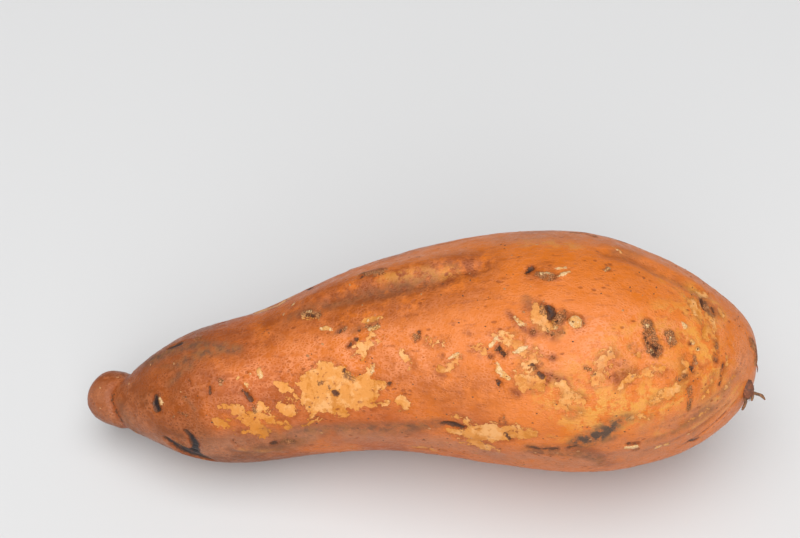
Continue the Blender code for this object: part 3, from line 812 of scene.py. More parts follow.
@dataclass(frozen=True)
class HiddenSideMarks:
    """Marks for the far side and the underside, strewn with a fixed seed."""

    seed: int = 11
    scrapes: int = 34
    corks: int = 46
    lenticels: int = 40
    holes: int = 16
    tints: int = 44
    creases: int = 9
    along: tuple[float, float] = (26, 204)
    around: tuple[float, float] = (124, 316)

    def strokes(self) -> list[Stroke]:
        """Strews the strokes.

        Returns:
            The strokes.
        """
        draw = np.random.RandomState(self.seed)
        strokes = []
        for _ in range(self.scrapes):
            strokes.append(self._ragged_patch(draw))
        specks = (
            (self.corks, Kind.CORK, 0.8, 2.6),
            (self.lenticels, Kind.PALE, 0.7, 1.5),
            (self.holes, Kind.HOLE, 0.6, 1.8),
        )
        for count, kind, narrow, wide in specks:
            for _ in range(count):
                strokes.append(self._short_stroke(draw, kind, narrow, wide))
        for _ in range(self.tints):
            strokes.append(self._broad_tint(draw))
        for _ in range(self.creases):
            strokes.extend(self._long_crease(draw))
        return strokes

    def _place(self, draw: np.random.RandomState) -> tuple[float, float]:
        """Returns a place on the hidden side, as millimetres along and degrees about."""
        return draw.uniform(*self.along), draw.uniform(*self.around)

    def _short_stroke(
        self, draw: np.random.RandomState, kind: Kind, narrow: float, wide: float
    ) -> Stroke:
        """Draws a short stroke of one kind.

        Args:
            draw: The source of chance.
            kind: What the stroke is.
            narrow: Its least width in millimetres.
            wide: Its greatest width in millimetres.

        Returns:
            The stroke.
        """
        along, around = self._place(draw)
        width = draw.uniform(narrow, wide)
        step, turn = draw.uniform(-1.6, 1.6), draw.uniform(-3.0, 3.0)
        ends = ((along, around, width), (along + step, around + turn, width * 0.7))
        return Stroke(kind, ends, RELIEF[kind] * (0.5 if kind is Kind.HOLE else 1.0))

    def _broad_tint(self, draw: np.random.RandomState) -> Stroke:
        """Draws a soft stretch of gold, rust, soil, or pink with a painted sheen.

        Args:
            draw: The source of chance.

        Returns:
            The stroke.
        """
        kind = (Kind.GOLD, Kind.RUST, Kind.PINK_AND_SHEEN, Kind.DIRT, Kind.RUST)[draw.randint(5)]
        along, around = self._place(draw)
        width = draw.uniform(2.5, 9.0)
        reach, turn = draw.uniform(4.0, 18.0), draw.uniform(-8.0, 8.0)
        far = (along + reach, around + turn, width * 0.7)
        return tint(kind, draw.uniform(0.4, 0.95), (along, around, width), far)

    def _long_crease(self, draw: np.random.RandomState) -> list[Stroke]:
        """Draws a shallow lengthwise crease and the rust in it.

        Args:
            draw: The source of chance.

        Returns:
            The two strokes.
        """
        along, around = self._place(draw)
        reach, turn = draw.uniform(6.0, 14.0), draw.uniform(-5.0, 5.0)
        width = draw.uniform(0.7, 1.6)
        points = [(along + reach * step, around + turn * step * step, width) for step in (0, 1, 2)]
        return [raised(-0.3, *points), tint(Kind.RUST, draw.uniform(0.6, 1.1), *points)]

    def _ragged_patch(self, draw: np.random.RandomState) -> Stroke:
        """Draws a wandering scraped patch.

        Args:
            draw: The source of chance.

        Returns:
            The stroke.
        """
        along, around = self._place(draw)
        width = draw.uniform(1.4, 6.0)
        points = []
        for _ in range(draw.randint(2, 5)):
            points.append((along, around, width))
            along += draw.uniform(-4.0, 6.0)
            around += draw.uniform(-7.0, 7.0)
            width *= draw.uniform(0.5, 1.1)
        return scrape(*points)


@dataclass
class Marks:
    """Every mark on the skin, as fields over its points."""

    form: TuberForm
    strokes: list[Stroke]
    reach: float = 4.0
    depth_limit: float = 3.0
    crisp_edge: float = 0.7
    form_edge: float = 0.5
    soft_edge: float = 0.45
    fields: dict[Kind, np.ndarray] = field(init=False)
    relief: np.ndarray = field(init=False)

    def __post_init__(self) -> None:
        """Lays every stroke on the skin."""
        shape = (self.form.rings, self.form.ring_points)
        self.along = self.form.along / MM
        self.turn = np.degrees(self.form.around)
        self.girth = self.form.girth() / MM
        self.fields = {kind: np.full(shape, -self.depth_limit) for kind in CRISP_KINDS}
        self.fields.update({kind: np.zeros(shape) for kind in SOFT_KINDS})
        self.relief = np.zeros(shape)
        for stroke in self.strokes:
            self._lay(stroke)

    def _lay(self, stroke: Stroke) -> None:
        """Adds one stroke to its kind's field and to the relief.

        Args:
            stroke: The stroke.
        """
        places = [point[0] for point in stroke.points]
        widest = max(point[2] for point in stroke.points)
        low, high = min(places) - self.reach - widest, max(places) + self.reach + widest
        rows = np.nonzero((self.along > low) & (self.along < high))[0]
        rows = slice(rows[0], rows[-1] + 1)
        inside = self._inside(stroke, rows)
        if stroke.kind in SOFT_KINDS:
            edge = widest * self.soft_edge
            value = stroke.strength * smooth_step(-edge, edge, inside)
            self.fields[stroke.kind][rows] = np.maximum(self.fields[stroke.kind][rows], value)
            return
        if stroke.kind is not Kind.FORM:
            grown = np.maximum(self.fields[stroke.kind][rows], inside)
            self.fields[stroke.kind][rows] = np.minimum(grown, self.depth_limit)
        relief = RELIEF[stroke.kind] if stroke.relief is None else stroke.relief
        edge = widest * self.form_edge
        if stroke.kind is not Kind.FORM:
            edge = min(self.crisp_edge, edge)
        self.relief[rows] += relief * smooth_step(-edge, edge, inside)

    def _inside(self, stroke: Stroke, rows: slice) -> np.ndarray:
        """Measures how deep each point lies inside a stroke, in millimetres, below 0 outside it.

        Args:
            stroke: The stroke to measure from.
            rows: The rings to measure.

        Returns:
            The depth at each point of those rings.
        """
        along = self.along[rows][:, None]
        girth = self.girth[rows]
        best = np.full(girth.shape, -np.inf)
        pairs = list(zip(stroke.points, stroke.points[1:])) or [(stroke.points[0],) * 2]
        for (near, near_turn, near_width), (far, far_turn, far_width) in pairs:
            across = self._turned(self.turn[None, :] - near_turn) * girth
            run = far - near
            rise = math.radians((far_turn - near_turn + 180) % 360 - 180) * girth
            length = run * run + rise * rise + 1e-9
            share = np.clip(((along - near) * run + across * rise) / length, 0, 1)
            away = np.hypot(along - near - share * run, across - share * rise)
            width = near_width + (far_width - near_width) * share
            best = np.maximum(best, width / 2 - away)
        return best

    @staticmethod
    def _turned(degrees: np.ndarray) -> np.ndarray:
        """Returns angles as radians between half a turn back and half a turn on."""
        return np.radians((degrees + 180) % 360 - 180)


class NodeBuilder:
    """Adds nodes to a tree and joins them up."""

    def __init__(self, tree: bpy.types.NodeTree) -> None:
        """Keeps the tree that the nodes go in."""
        self.tree = tree

    def add(self, kind: str, values: dict | None = None, **settings: object) -> bpy.types.Node:
        """Adds a node.

        Args:
            kind: The node's type.
            values: What each input socket holds: a number, a colour, or a socket to join to it.
            **settings: The node's own properties.

        Returns:
            The node.
        """
        node = self.tree.nodes.new(kind)
        for name, value in settings.items():
            setattr(node, name, value)
        for name, value in (values or {}).items():
            socket = node.inputs[name]
            if isinstance(value, Socket):
                self.tree.links.new(value, socket)
            else:
                socket.default_value = value
        return node

    def math(self, operation: str, first: object, second: object) -> Socket:
        """Returns the result of a sum on two values or sockets."""
        return self.add("ShaderNodeMath", {0: first, 1: second}, operation=operation).outputs[0]

    def times(self, first: object, second: object) -> Socket:
        """Returns two values or sockets multiplied."""
        return self.math("MULTIPLY", first, second)

    def plus(self, first: object, second: object) -> Socket:
        """Returns two values or sockets added."""
        return self.math("ADD", first, second)

    def minus(self, first: object, second: object) -> Socket:
        """Returns the first value or socket less the second."""
        return self.math("SUBTRACT", first, second)

    def vectors(self, operation: str, values: dict) -> Socket:
        """Returns the result of a sum on vectors."""
        return self.add("ShaderNodeVectorMath", values, operation=operation).outputs[0]

    def noise(
        self, place: Socket, scale: float, detail: float = 2.0, roughness: float = 0.5
    ) -> Socket:
        """Returns a noise between 0 and 1.

        Args:
            place: The coordinates to read it at.
            scale: How many swings it has in a metre.
            detail: How many finer swings are added.
            roughness: How strong those are.

        Returns:
            The noise's value socket.
        """
        values = {"Vector": place, "Scale": scale, "Detail": detail, "Roughness": roughness}
        return self.add("ShaderNodeTexNoise", values).outputs[0]

    def bent(self, place: Socket, scale: float, reach: float) -> Socket:
        """Returns coordinates moved about by a noise.

        Args:
            place: The coordinates.
            scale: How many swings the noise has in a metre.
            reach: How far it moves them, in metres.

        Returns:
            The moved coordinates' socket.
        """
        noise = self.add("ShaderNodeTexNoise", {"Vector": place, "Scale": scale, "Detail": 2.0})
        centred = self.vectors("SUBTRACT", {0: noise.outputs["Color"], 1: (0.5, 0.5, 0.5)})
        return self.vectors("ADD", {0: place, 1: self.vectors("SCALE", {0: centred, "Scale": reach})})

    def stretched(self, place: Socket, scale: tuple[float, float, float]) -> Socket:
        """Returns coordinates scaled along each axis."""
        return self.add("ShaderNodeMapping", {"Vector": place, "Scale": scale}).outputs[0]

    def attribute(self, name: str) -> Socket:
        """Returns an attribute's value."""
        return self.add("ShaderNodeAttribute", attribute_name=name).outputs["Fac"]

    def blend(self, share: object, first: object, second: object) -> Socket:
        """Mixes two colours.

        Args:
            share: How much of the second there is.
            first: The first colour, or its socket.
            second: The second colour, or its socket.

        Returns:
            The mixed colour's socket.
        """
        values = {0: share, 6: first, 7: second}
        return self.add("ShaderNodeMix", values, data_type="RGBA", clamp_factor=True).outputs[2]

    def span(
        self, value: object, low: float, high: float, start: float = 0.0, end: float = 1.0
    ) -> Socket:
        """Carries a value smoothly from one span to another.

        Args:
            value: The value or its socket.
            low: The start of its own span.
            high: The end of its own span.
            start: What the low end becomes.
            end: What the high end becomes.

        Returns:
            The carried value's socket.
        """
        values = {"Value": value, "From Min": low, "From Max": high, "To Min": start, "To Max": end}
        return self.add("ShaderNodeMapRange", values, interpolation_type="SMOOTHSTEP").outputs[0]


def new_group(name: str, inputs: dict[str, float | None], outputs: tuple[str, ...]) -> tuple:
    """Starts a shader node group with number inputs.

    Args:
        name: The group's name.
        inputs: Each input's name and value. A Vector input is given as None.
        outputs: The names of its outputs.

    Returns:
        The group, its builder, its input node's sockets and its output node's sockets.
    """
    group = bpy.data.node_groups.new(name, "ShaderNodeTree")
    for label, value in inputs.items():
        kind = "NodeSocketVector" if value is None else "NodeSocketFloat"
        socket = group.interface.new_socket(name=label, in_out="INPUT", socket_type=kind)
        if value is not None:
            socket.default_value = value
    for label in outputs:
        group.interface.new_socket(name=label, in_out="OUTPUT", socket_type="NodeSocketFloat")
    builder = NodeBuilder(group)
    given, result = builder.add("NodeGroupInput"), builder.add("NodeGroupOutput")
    return group, builder, given.outputs, result.inputs


@dataclass
class SharedEffects:
    """The node groups that more than one material or mask uses."""

    ragged_edge: bpy.types.NodeTree = field(init=False)
    grain: bpy.types.NodeTree = field(init=False)
    cracks: bpy.types.NodeTree = field(init=False)

    def __post_init__(self) -> None:
        """Builds the groups."""
        self.ragged_edge = self._ragged_edge()
        self.grain = self._grain()
        self.cracks = self._cracks()

    @staticmethod
    def _ragged_edge() -> bpy.types.NodeTree:
        """Builds the group that turns a depth inside a mark into a mask with a torn edge.

        Returns:
            The group.
        """
        inputs = {"Place": None, "Inside": 0.0, "Tear": 1.0, "Flake": 1.0, "Softness": 0.15}
        group, build, given, result = new_group("ragged_edge", inputs, ("Mask",))
        tear = build.minus(build.noise(given["Place"], 300.0, 5.0, 0.68), 0.53)
        bent = build.bent(given["Place"], 500.0, 0.9 * MM)
        flakes = build.add("ShaderNodeTexVoronoi", {"Vector": bent, "Scale": 640.0})
        shade = build.add("ShaderNodeSeparateColor", {"Color": flakes.outputs["Color"]})
        flake = build.minus(shade.outputs[0], 0.5)
        moved = build.plus(given["Inside"], build.times(tear, given["Tear"]))
        moved = build.plus(moved, build.times(flake, given["Flake"]))
        share = build.math("DIVIDE", moved, given["Softness"])
        group.links.new(build.span(share, -1.0, 1.0), result["Mask"])
        return group

    @staticmethod
    def _grain() -> bpy.types.NodeTree:
        """Builds the group for the fine net of ridges and pores on dry skin.

        Returns:
            The group.
        """
        inputs = {"Place": None, "Size": 1.0}
        group, build, given, result = new_group("skin_grain", inputs, ("Ridge", "Pore"))
        scaled = build.vectors("SCALE", {0: given["Place"], "Scale": given["Size"]})
        place = build.bent(build.stretched(scaled, (0.60, 1.0, 1.0)), 850.0, 0.8 * MM)
        values = {"Vector": place, "Scale": 1350.0}
        net = build.add("ShaderNodeTexVoronoi", values, feature="DISTANCE_TO_EDGE")
        ridge = build.span(net.outputs["Distance"], 0.03, 0.34, 1.0, 0.0)
        broken = build.span(build.noise(place, 560.0, 2.0), 0.30, 0.55)
        group.links.new(build.times(ridge, broken), result["Ridge"])
        cells = build.add("ShaderNodeTexVoronoi", {"Vector": place, "Scale": 620.0, "Randomness": 1.0})
        chosen = build.span(build.noise(place, 210.0, 2.0), 0.52, 0.66)
        pores = build.times(build.span(cells.outputs["Distance"], 0.14, 0.34, 1.0, 0.0), chosen)
        group.links.new(pores, result["Pore"])
        return group

    @staticmethod
    def _cracks() -> bpy.types.NodeTree:
        """Builds the group for the winding cracks of cork and bark.

        Returns:
            The group.
        """
        inputs = {"Place": None, "Scale": 1300.0}
        group, build, given, result = new_group("cork_cracks", inputs, ("Crack",))
        values = {"Vector": build.bent(given["Place"], 900.0, 0.9 * MM), "Scale": given["Scale"]}
        net = build.add("ShaderNodeTexVoronoi", values, feature="DISTANCE_TO_EDGE")
        crack = build.span(net.outputs["Distance"], 0.0, 0.11, 1.0, 0.0)
        group.links.new(crack, result["Crack"])
        return group


class MaterialStart:
    """A new material, its node builder, its shader and the object's coordinates."""

    def __init__(self, name: str) -> None:
        """Starts the material.

        Args:
            name: The material's name.
        """
        self.material = bpy.data.materials.new(name)
        self.material.use_nodes = True
        self.build = NodeBuilder(self.material.node_tree)
        self.shader = self.material.node_tree.nodes["Principled BSDF"].inputs
        self.place = self.build.add("ShaderNodeTexCoord").outputs["Object"]

    def group(self, tree: bpy.types.NodeTree, values: dict) -> bpy.types.NodeOutputs:
        """Adds a node group at the object's coordinates and returns its outputs."""
        values = {"Place": self.place, **values}
        return self.build.add("ShaderNodeGroup", values, node_tree=tree).outputs

    def join(self, socket: Socket, name: str) -> None:
        """Joins a socket to one of the shader's inputs."""
        self.build.tree.links.new(socket, self.shader[name])


@dataclass(frozen=True)
class SkinSockets:
    """What the skin's colour, roughness and bump are all worked out from.

    These are the node builder, the object's coordinates, the height of the fine ridges, the
    masks of the pores and of the cracks in cork, and the crisp marks' masks.
    """

    build: NodeBuilder
    place: Socket
    ridge: Socket
    pore: Socket
    crack: Socket
    masks: dict[Kind, Socket]


@dataclass(frozen=True)
class SkinFinish:
    """The tuber's skin: copper-orange, with what time in the soil left on it, and painted shade and
    sheen.
    """

    stem_brown: Colour = (0.145, 0.040, 0.009, 1.0)
    copper: Colour = (0.390, 0.084, 0.011, 1.0)
    orange: Colour = (0.595, 0.158, 0.022, 1.0)
    amber: Colour = (0.550, 0.130, 0.005, 1.0)
    rust: Colour = (0.230, 0.046, 0.004, 1.0)
    # Pink of the fine ridges, also the colour of the painted sheen.
    pink_and_sheen: Colour = (0.680, 0.232, 0.090, 1.0)
    flesh_pale: Colour = (0.700, 0.345, 0.120, 1.0)
    flesh: Colour = (0.620, 0.250, 0.052, 1.0)
    flesh_gold: Colour = (0.460, 0.150, 0.008, 1.0)
    gold: Colour = (0.620, 0.262, 0.044, 1.0)
    soil: Colour = (0.060, 0.044, 0.034, 1.0)
    olive: Colour = (0.225, 0.098, 0.036, 1.0)
    dust_and_sheen: Colour = (0.330, 0.132, 0.066, 1.0)
    cork_light: Colour = (0.430, 0.180, 0.068, 1.0)
    cork_dark: Colour = (0.150, 0.054, 0.017, 1.0)
    cream: Colour = (0.690, 0.440, 0.210, 1.0)
    dead_brown: Colour = (0.120, 0.040, 0.014, 1.0)
    dead: Colour = (0.016, 0.010, 0.010, 1.0)
    roughness: float = 0.36
    shine: float = 0.26

    def material(self, effects: SharedEffects) -> bpy.types.Material:
        """Builds the material.

        Args:
            effects: The shared node groups.

        Returns:
            The material.
        """
        start = MaterialStart("tuber_skin")
        grain = start.group(effects.grain, {"Size": 1.0})
        crack = start.group(effects.cracks, {"Scale": 1700.0})["Crack"]
        masks = self._masks(start, effects)
        skin = SkinSockets(start.build, start.place, grain["Ridge"], grain["Pore"], crack, masks)
        start.join(self._marked_colour(skin, self._skin_colour(skin)), "Base Color")
        start.shader["Specular IOR Level"].default_value = self.shine
        start.join(self._roughness(skin), "Roughness")
        start.join(self._bump(skin), "Normal")
        return start.material

    @staticmethod
    def _masks(start: MaterialStart, effects: SharedEffects) -> dict[Kind, Socket]:
        """Turns each crisp mark's field into a mask with a torn edge.

        Args:
            start: The new material.
            effects: The shared node groups.

        Returns:
            Each kind's mask.
        """
        edges = {
            Kind.SCRAPE: (6.5, 1.5, 0.12),
            Kind.HOLE: (2.6, 0.5, 0.18),
            Kind.CORK: (4.0, 0.9, 0.25),
            Kind.PALE: (2.0, 0.5, 0.16),
        }
        masks = {}
        for kind, (tear, flake, softness) in edges.items():
            values = {"Inside": start.build.attribute(kind.value)}
            values.update({"Tear": tear, "Flake": flake, "Softness": softness})
            masks[kind] = start.group(effects.ragged_edge, values)["Mask"]
        return masks

    def _skin_colour(self, skin: SkinSockets) -> Socket:
        """Colours the unmarked skin: brown at the stem, orange over the bulb, with painted shade and
        sheen.

        Args:
            skin: The skin's sockets.

        Returns:
            The colour's socket.
        """
        build, place = skin.build, skin.place
        cloud = build.minus(build.noise(place, 55.0, 5.0, 0.62), 0.5)
        # The tone brings with it the painted shade low on the sides.
        toned = build.plus(build.attribute("tone"), build.times(cloud, 0.8))
        colour = build.blend(build.span(toned, -0.2, 0.5), self.stem_brown, self.copper)
        colour = build.blend(build.span(toned, 0.42, 1.0), colour, self.orange)
        amber = build.span(build.noise(place, 38.0, 4.0, 0.6), 0.46, 0.62, 0.0, 0.8)
        amber = build.times(amber, build.span(toned, 0.0, 0.35, 0.15, 1.0))
        colour = build.blend(amber, colour, self.amber)
        along = build.stretched(place, (0.22, 1.0, 1.0))
        streak = build.span(build.noise(along, 620.0, 4.0, 0.6), 0.54, 0.72, 0.0, 0.5)
        colour = build.blend(streak, colour, self.rust)
        tints = (
            ("rust", (190.0, 5.0, 0.68), (0.30, 0.58), self.rust),
            ("gold", (210.0, 5.0, 0.70), (0.43, 0.56), self.gold),
            ("gold", (330.0, 5.0, 0.70), (0.52, 0.62, 0.0, 0.6), self.amber),
            ("dust_and_sheen", (120.0, 5.0, 0.68), (0.34, 0.60, 0.25, 0.85), self.dust_and_sheen),
        )
        for name, noise, span, shade in tints:
            broken = build.span(build.noise(place, *noise), *span)
            colour = build.blend(build.times(build.attribute(name), broken), colour, shade)
        # Pink on the fine ridges everywhere, raised to a painted sheen where the sheen marks lie.
        patch = build.span(build.noise(place, 140.0, 4.0, 0.62), 0.36, 0.62, 0.25, 1.0)
        painted_sheen = build.span(build.attribute("pink_and_sheen"), 0.0, 1.0, 0.26, 0.90)
        lift = build.times(build.times(skin.ridge, patch), painted_sheen)
        colour = build.blend(lift, colour, self.pink_and_sheen)
        return build.blend(build.times(skin.pore, 0.65), colour, self.rust)

    def _marked_colour(self, skin: SkinSockets, colour: Socket) -> Socket:
        """Lays the scraped patches, soil, cork, healed skin and dead tissue over the skin.

        Args:
            skin: The skin's sockets.
            colour: The unmarked skin's colour.

        Returns:
            The colour's socket.
        """
        build, masks = skin.build, skin.masks
        tatter = build.noise(skin.place, 420.0, 5.0, 0.7)
        halos = ((Kind.SCRAPE, -1.8, 0.5), (Kind.HOLE, -1.1, 0.9), (Kind.CORK, -1.0, 0.7))
        for kind, reach, share in halos:
            near = build.span(build.attribute(kind.value), reach, 0.1, 0.0, share)
            halo = build.times(near, build.span(tatter, 0.35, 0.6))
            colour = build.blend(halo, colour, self.rust)
        worn = build.span(build.noise(skin.place, 300.0, 4.0, 0.65), 0.40, 0.60, 0.45, 0.0)
        worn = build.times(worn, build.span(build.attribute("tone"), 0.75, 1.0))
        share = build.times(masks[Kind.SCRAPE], build.minus(0.95, worn))
        colour = build.blend(share, colour, self._flesh(skin))
        smudged = build.times(build.attribute("dirt"), build.span(tatter, 0.36, 0.58, 0.30, 0.95))
        thick = build.span(build.attribute("dirt"), 0.95, 1.45)
        thick = build.times(thick, build.span(tatter, 0.30, 0.52, 0.2, 1.0))
        smudged = build.math("MINIMUM", build.math("MAXIMUM", smudged, thick), 0.94)
        damp = build.span(build.noise(skin.place, 380.0, 3.0), 0.42, 0.6, 0.3, 1.0)
        earth = build.blend(thick, build.blend(damp, self.soil, self.olive), self.soil)
        colour = build.blend(smudged, colour, earth)
        corky = build.blend(build.times(skin.crack, 0.55), self.cork_light, self.cork_dark)
        corky = build.blend(build.span(tatter, 0.46, 0.70, 0.0, 0.7), corky, self.cork_dark)
        broken = build.span(build.noise(skin.place, 700.0, 4.0, 0.65), 0.40, 0.56, 0.28, 0.90)
        colour = build.blend(build.times(masks[Kind.CORK], broken), colour, corky)
        # Pale marks: healed skin and lenticel lips, and a few painted glints.
        creamy = build.blend(build.span(tatter, 0.46, 0.60, 0.0, 0.8), self.cream, self.gold)
        creamy = build.blend(build.times(skin.crack, 0.5), creamy, self.olive)
        colour = build.blend(masks[Kind.PALE], colour, creamy)
        rot = build.blend(build.span(build.attribute("hole"), 0.0, 0.9), self.dead_brown, self.dead)
        rot = build.blend(build.span(tatter, 0.52, 0.70), rot, self.dead_brown)
        return build.blend(masks[Kind.HOLE], colour, rot)

    def _flesh(self, skin: SkinSockets) -> Socket:
        """Colours the flesh that a scrape shows, paler and golden in turn, with dark freckles.

        Args:
            skin: The skin's sockets.

        Returns:
            The colour's socket.
        """
        build, place = skin.build, skin.place
        light = build.span(build.noise(place, 210.0, 4.0, 0.62), 0.46, 0.60)
        flesh = build.blend(light, self.flesh, self.flesh_pale)
        golden = build.span(build.noise(place, 240.0, 5.0, 0.70), 0.49, 0.62, 0.0, 0.75)
        flesh = build.blend(golden, flesh, self.flesh_gold)
        # Low tone includes the painted shade low on the sides, so scraped flesh there is darker too.
        browner = build.span(build.attribute("tone"), 0.25, 0.60, 0.75, 0.0)
        flesh = build.blend(browner, flesh, self.flesh_gold)
        freckle = build.span(build.noise(place, 620.0, 4.0, 0.65), 0.56, 0.68, 0.0, 0.8)
        freckle = build.times(freckle, build.span(build.attribute("scrape"), 0.6, 2.2))
        return build.blend(freckle, flesh, self.rust)

    def _roughness(self, skin: SkinSockets) -> Socket:
        """Sets the roughness: a dull shine, less on scraped flesh, cork and soil.

        Args:
            skin: The skin's sockets.

        Returns:
            The roughness's socket.
        """
        build = skin.build
        low, high = self.roughness - 0.08, self.roughness + 0.12
        cloud = build.span(build.noise(skin.place, 420.0, 3.0, 0.6), 0.3, 0.7, low, high)
        dull = build.times(skin.masks[Kind.SCRAPE], 0.08)
        dull = build.plus(dull, build.times(skin.masks[Kind.CORK], 0.25))
        dull = build.plus(dull, build.times(build.attribute("dirt"), 0.25))
        return build.plus(cloud, dull)

    @staticmethod
    def _bump(skin: SkinSockets) -> Socket:
        """Works out the finest relief: ridges, pores, patch edges and cork cracks.

        Args:
            skin: The skin's sockets.

        Returns:
            The normal's socket.
        """
        build, masks = skin.build, skin.masks
        height = build.times(skin.ridge, build.span(masks[Kind.SCRAPE], 0.0, 1.0, 0.075, 0.02))
        ring = build.stretched(skin.place, (1.0, 0.12, 0.12))
        cracked = build.times(skin.crack, masks[Kind.CORK])
        for layer, amount in (
            (build.noise(skin.place, 420.0, 4.0, 0.6), 0.22),
            (build.noise(ring, 900.0, 3.0, 0.6), 0.10),
            (skin.pore, -0.12),
            (masks[Kind.SCRAPE], -0.08),
            (cracked, -0.25),
            (masks[Kind.PALE], 0.12),
            (masks[Kind.HOLE], -0.20),
        ):
            height = build.plus(height, build.times(layer, amount))
        bump = build.add("ShaderNodeBump", {"Height": height, "Strength": 1.0, "Distance": MM})
        return bump.outputs["Normal"]


@dataclass(frozen=True)
class BarkFinish:
    """A rougher, browner skin for the tail root and for loose flecks."""

    name: str
    light: Colour
    dark: Colour
    roughness: float = 0.62

    def material(self, effects: SharedEffects) -> bpy.types.Material:
        """Builds the material.

        Args:
            effects: The shared node groups.

        Returns:
            The material.
        """
        start = MaterialStart(self.name)
        build = start.build
        crack = start.group(effects.cracks, {"Scale": 1900.0})["Crack"]
        cloud = build.span(build.noise(start.place, 900.0, 4.0, 0.65), 0.38, 0.62)
        shade = build.math("MAXIMUM", cloud, build.times(crack, 0.8))
        start.join(build.blend(shade, self.light, self.dark), "Base Color")
        start.shader["Roughness"].default_value = self.roughness
        values = {"Height": shade, "Strength": 0.7, "Distance": 0.15 * MM}
        start.join(build.add("ShaderNodeBump", values, invert=True).outputs["Normal"], "Normal")
        return start.material


class PieceTree:
    """A Geometry Nodes tree with named inputs, whose result a piece keeps as its plain mesh."""

    def __init__(self, name: str, inputs: dict[str, str]) -> None:
        """Starts the tree.

        Args:
            name: The tree's name.
            inputs: Each named input and the type of its socket.
        """
        self.group = bpy.data.node_groups.new(name, "GeometryNodeTree")
        face = self.group.interface
        face.new_socket(name="Geometry", in_out="INPUT", socket_type="NodeSocketGeometry")
        self.sockets = {}
        for label, kind in {**inputs, "Finish": "NodeSocketMaterial"}.items():
            self.sockets[label] = face.new_socket(name=label, in_out="INPUT", socket_type=kind)
        face.new_socket(name="Geometry", in_out="OUTPUT", socket_type="NodeSocketGeometry")
        self.build = NodeBuilder(self.group)
        self.given = self.build.add("NodeGroupInput").outputs
        self.result = self.build.add("NodeGroupOutput").inputs

    def _dress(self, geometry: Socket) -> None:
        """Ends the tree: makes its geometry real and gives it its material.

        Args:
            geometry: The geometry so far.
        """
        real = self.build.add("GeometryNodeRealizeInstances", {"Geometry": geometry})
        values = {"Geometry": real.outputs[0], "Material": self.given["Finish"]}
        dressed = self.build.add("GeometryNodeSetMaterial", values)
        self.group.links.new(dressed.outputs[0], self.result[0])

    def run(self, piece: bpy.types.Object, values: dict[str, object]) -> None:
        """Runs the tree on a piece and keeps the result as its plain mesh, shaded smooth.

        Args:
            piece: The piece to work on.
            values: What each named input holds.
        """
        modifier = piece.modifiers.new(self.group.name, "NODES")
        modifier.node_group = self.group
        for label, value in values.items():
            modifier[self.sockets[label].identifier] = value
        bpy.context.view_layer.update()
        evaluated = piece.evaluated_get(bpy.context.evaluated_depsgraph_get())
        mesh = bpy.data.meshes.new_from_object(evaluated)
        piece.modifiers.clear()
        piece.data = mesh
        mesh.shade_smooth()


class ReliefTree(PieceTree):
    """The tree that swells and wrinkles the skin."""

    def __init__(self) -> None:
        """Builds the tree."""
        labels = ("Swell Height", "Swell Size", "Wrinkle Height", "Wrinkle Size", "Seed")
        super().__init__("skin_relief", {label: "NodeSocketFloat" for label in labels})
        build = self.build
        height = build.plus(self._wave("Swell"), self._wave("Wrinkle"))
        normal = build.add("GeometryNodeInputNormal").outputs[0]
        offset = build.vectors("SCALE", {0: normal, "Scale": height})
        values = {"Geometry": self.given["Geometry"], "Offset": offset}
        self._dress(build.add("GeometryNodeSetPosition", values).outputs[0])

    def _wave(self, label: str) -> Socket:
        """Adds one size of relief.

        Args:
            label: The first word of its height's and its size's inputs.

        Returns:
            The socket of its height, in metres about zero.
        """
        scale = self.build.math("DIVIDE", 1.0, self.given[f"{label} Size"])
        place = self.build.add("GeometryNodeInputPosition").outputs[0]
        values = {"Vector": place, "W": self.given["Seed"], "Scale": scale, "Detail": 2.0}
        noise = self.build.add("ShaderNodeTexNoise", values, noise_dimensions="4D")
        centred = self.build.minus(noise.outputs[0], 0.5)
        return self.build.times(centred, self.given[f"{label} Height"])

    def work(
        self,
        piece: bpy.types.Object,
        finish: bpy.types.Material,
        swell: tuple[float, float],
        wrinkle: tuple[float, float],
        seed: float,
    ) -> None:
        """Swells and wrinkles a piece.

        Args:
            piece: The piece to work on.
            finish: Its material.
            swell: The height and the size of its swells, in metres.
            wrinkle: The height and the size of its wrinkles, in metres.
            seed: Which draw of the relief it takes.
        """
        values = {"Swell Height": swell[0], "Swell Size": swell[1]}
        values.update({"Wrinkle Height": wrinkle[0], "Wrinkle Size": wrinkle[1]})
        self.run(piece, {**values, "Seed": seed, "Finish": finish})


@dataclass(frozen=True)
class FleckPattern:
    """One piece of small corky flecks: how close, how large and how clumped they lie."""

    name: str
    finish: BarkFinish
    spacing: float
    density: float
    sizes: tuple[float, float]
    thickness: float
    clumping: float
    seed: int
    clear_height: float = 1.5 * MM

    def inputs(self) -> dict[str, object]:
        """Names what each input of the tree holds.

        Returns:
            The value of every input but the finish.
        """
        return {
            "Spacing": self.spacing,
            "Density": self.density,
            "Least Size": self.sizes[0],
            "Greatest Size": self.sizes[1],
            "Thickness": self.thickness,
            "Clumping": self.clumping,
            "Clear Height": self.clear_height,
            "Seed": self.seed,
        }


FLECK_PATTERNS = (
    FleckPattern(
        "dark_flecks",
        BarkFinish("fleck_brown", (0.17, 0.062, 0.020, 1.0), (0.07, 0.026, 0.010, 1.0)),
        spacing=1.3 * MM,
        density=60000.0,
        sizes=(0.08 * MM, 0.22 * MM),
        thickness=0.35,
        clumping=45.0,
        seed=7,
    ),
    FleckPattern(
        "pale_flecks",
        BarkFinish("fleck_pale", (0.52, 0.25, 0.10, 1.0), (0.34, 0.13, 0.04, 1.0)),
        spacing=4.0 * MM,
        density=16000.0,
        sizes=(0.16 * MM, 0.42 * MM),
        thickness=0.40,
        clumping=30.0,
        seed=23,
    ),
)


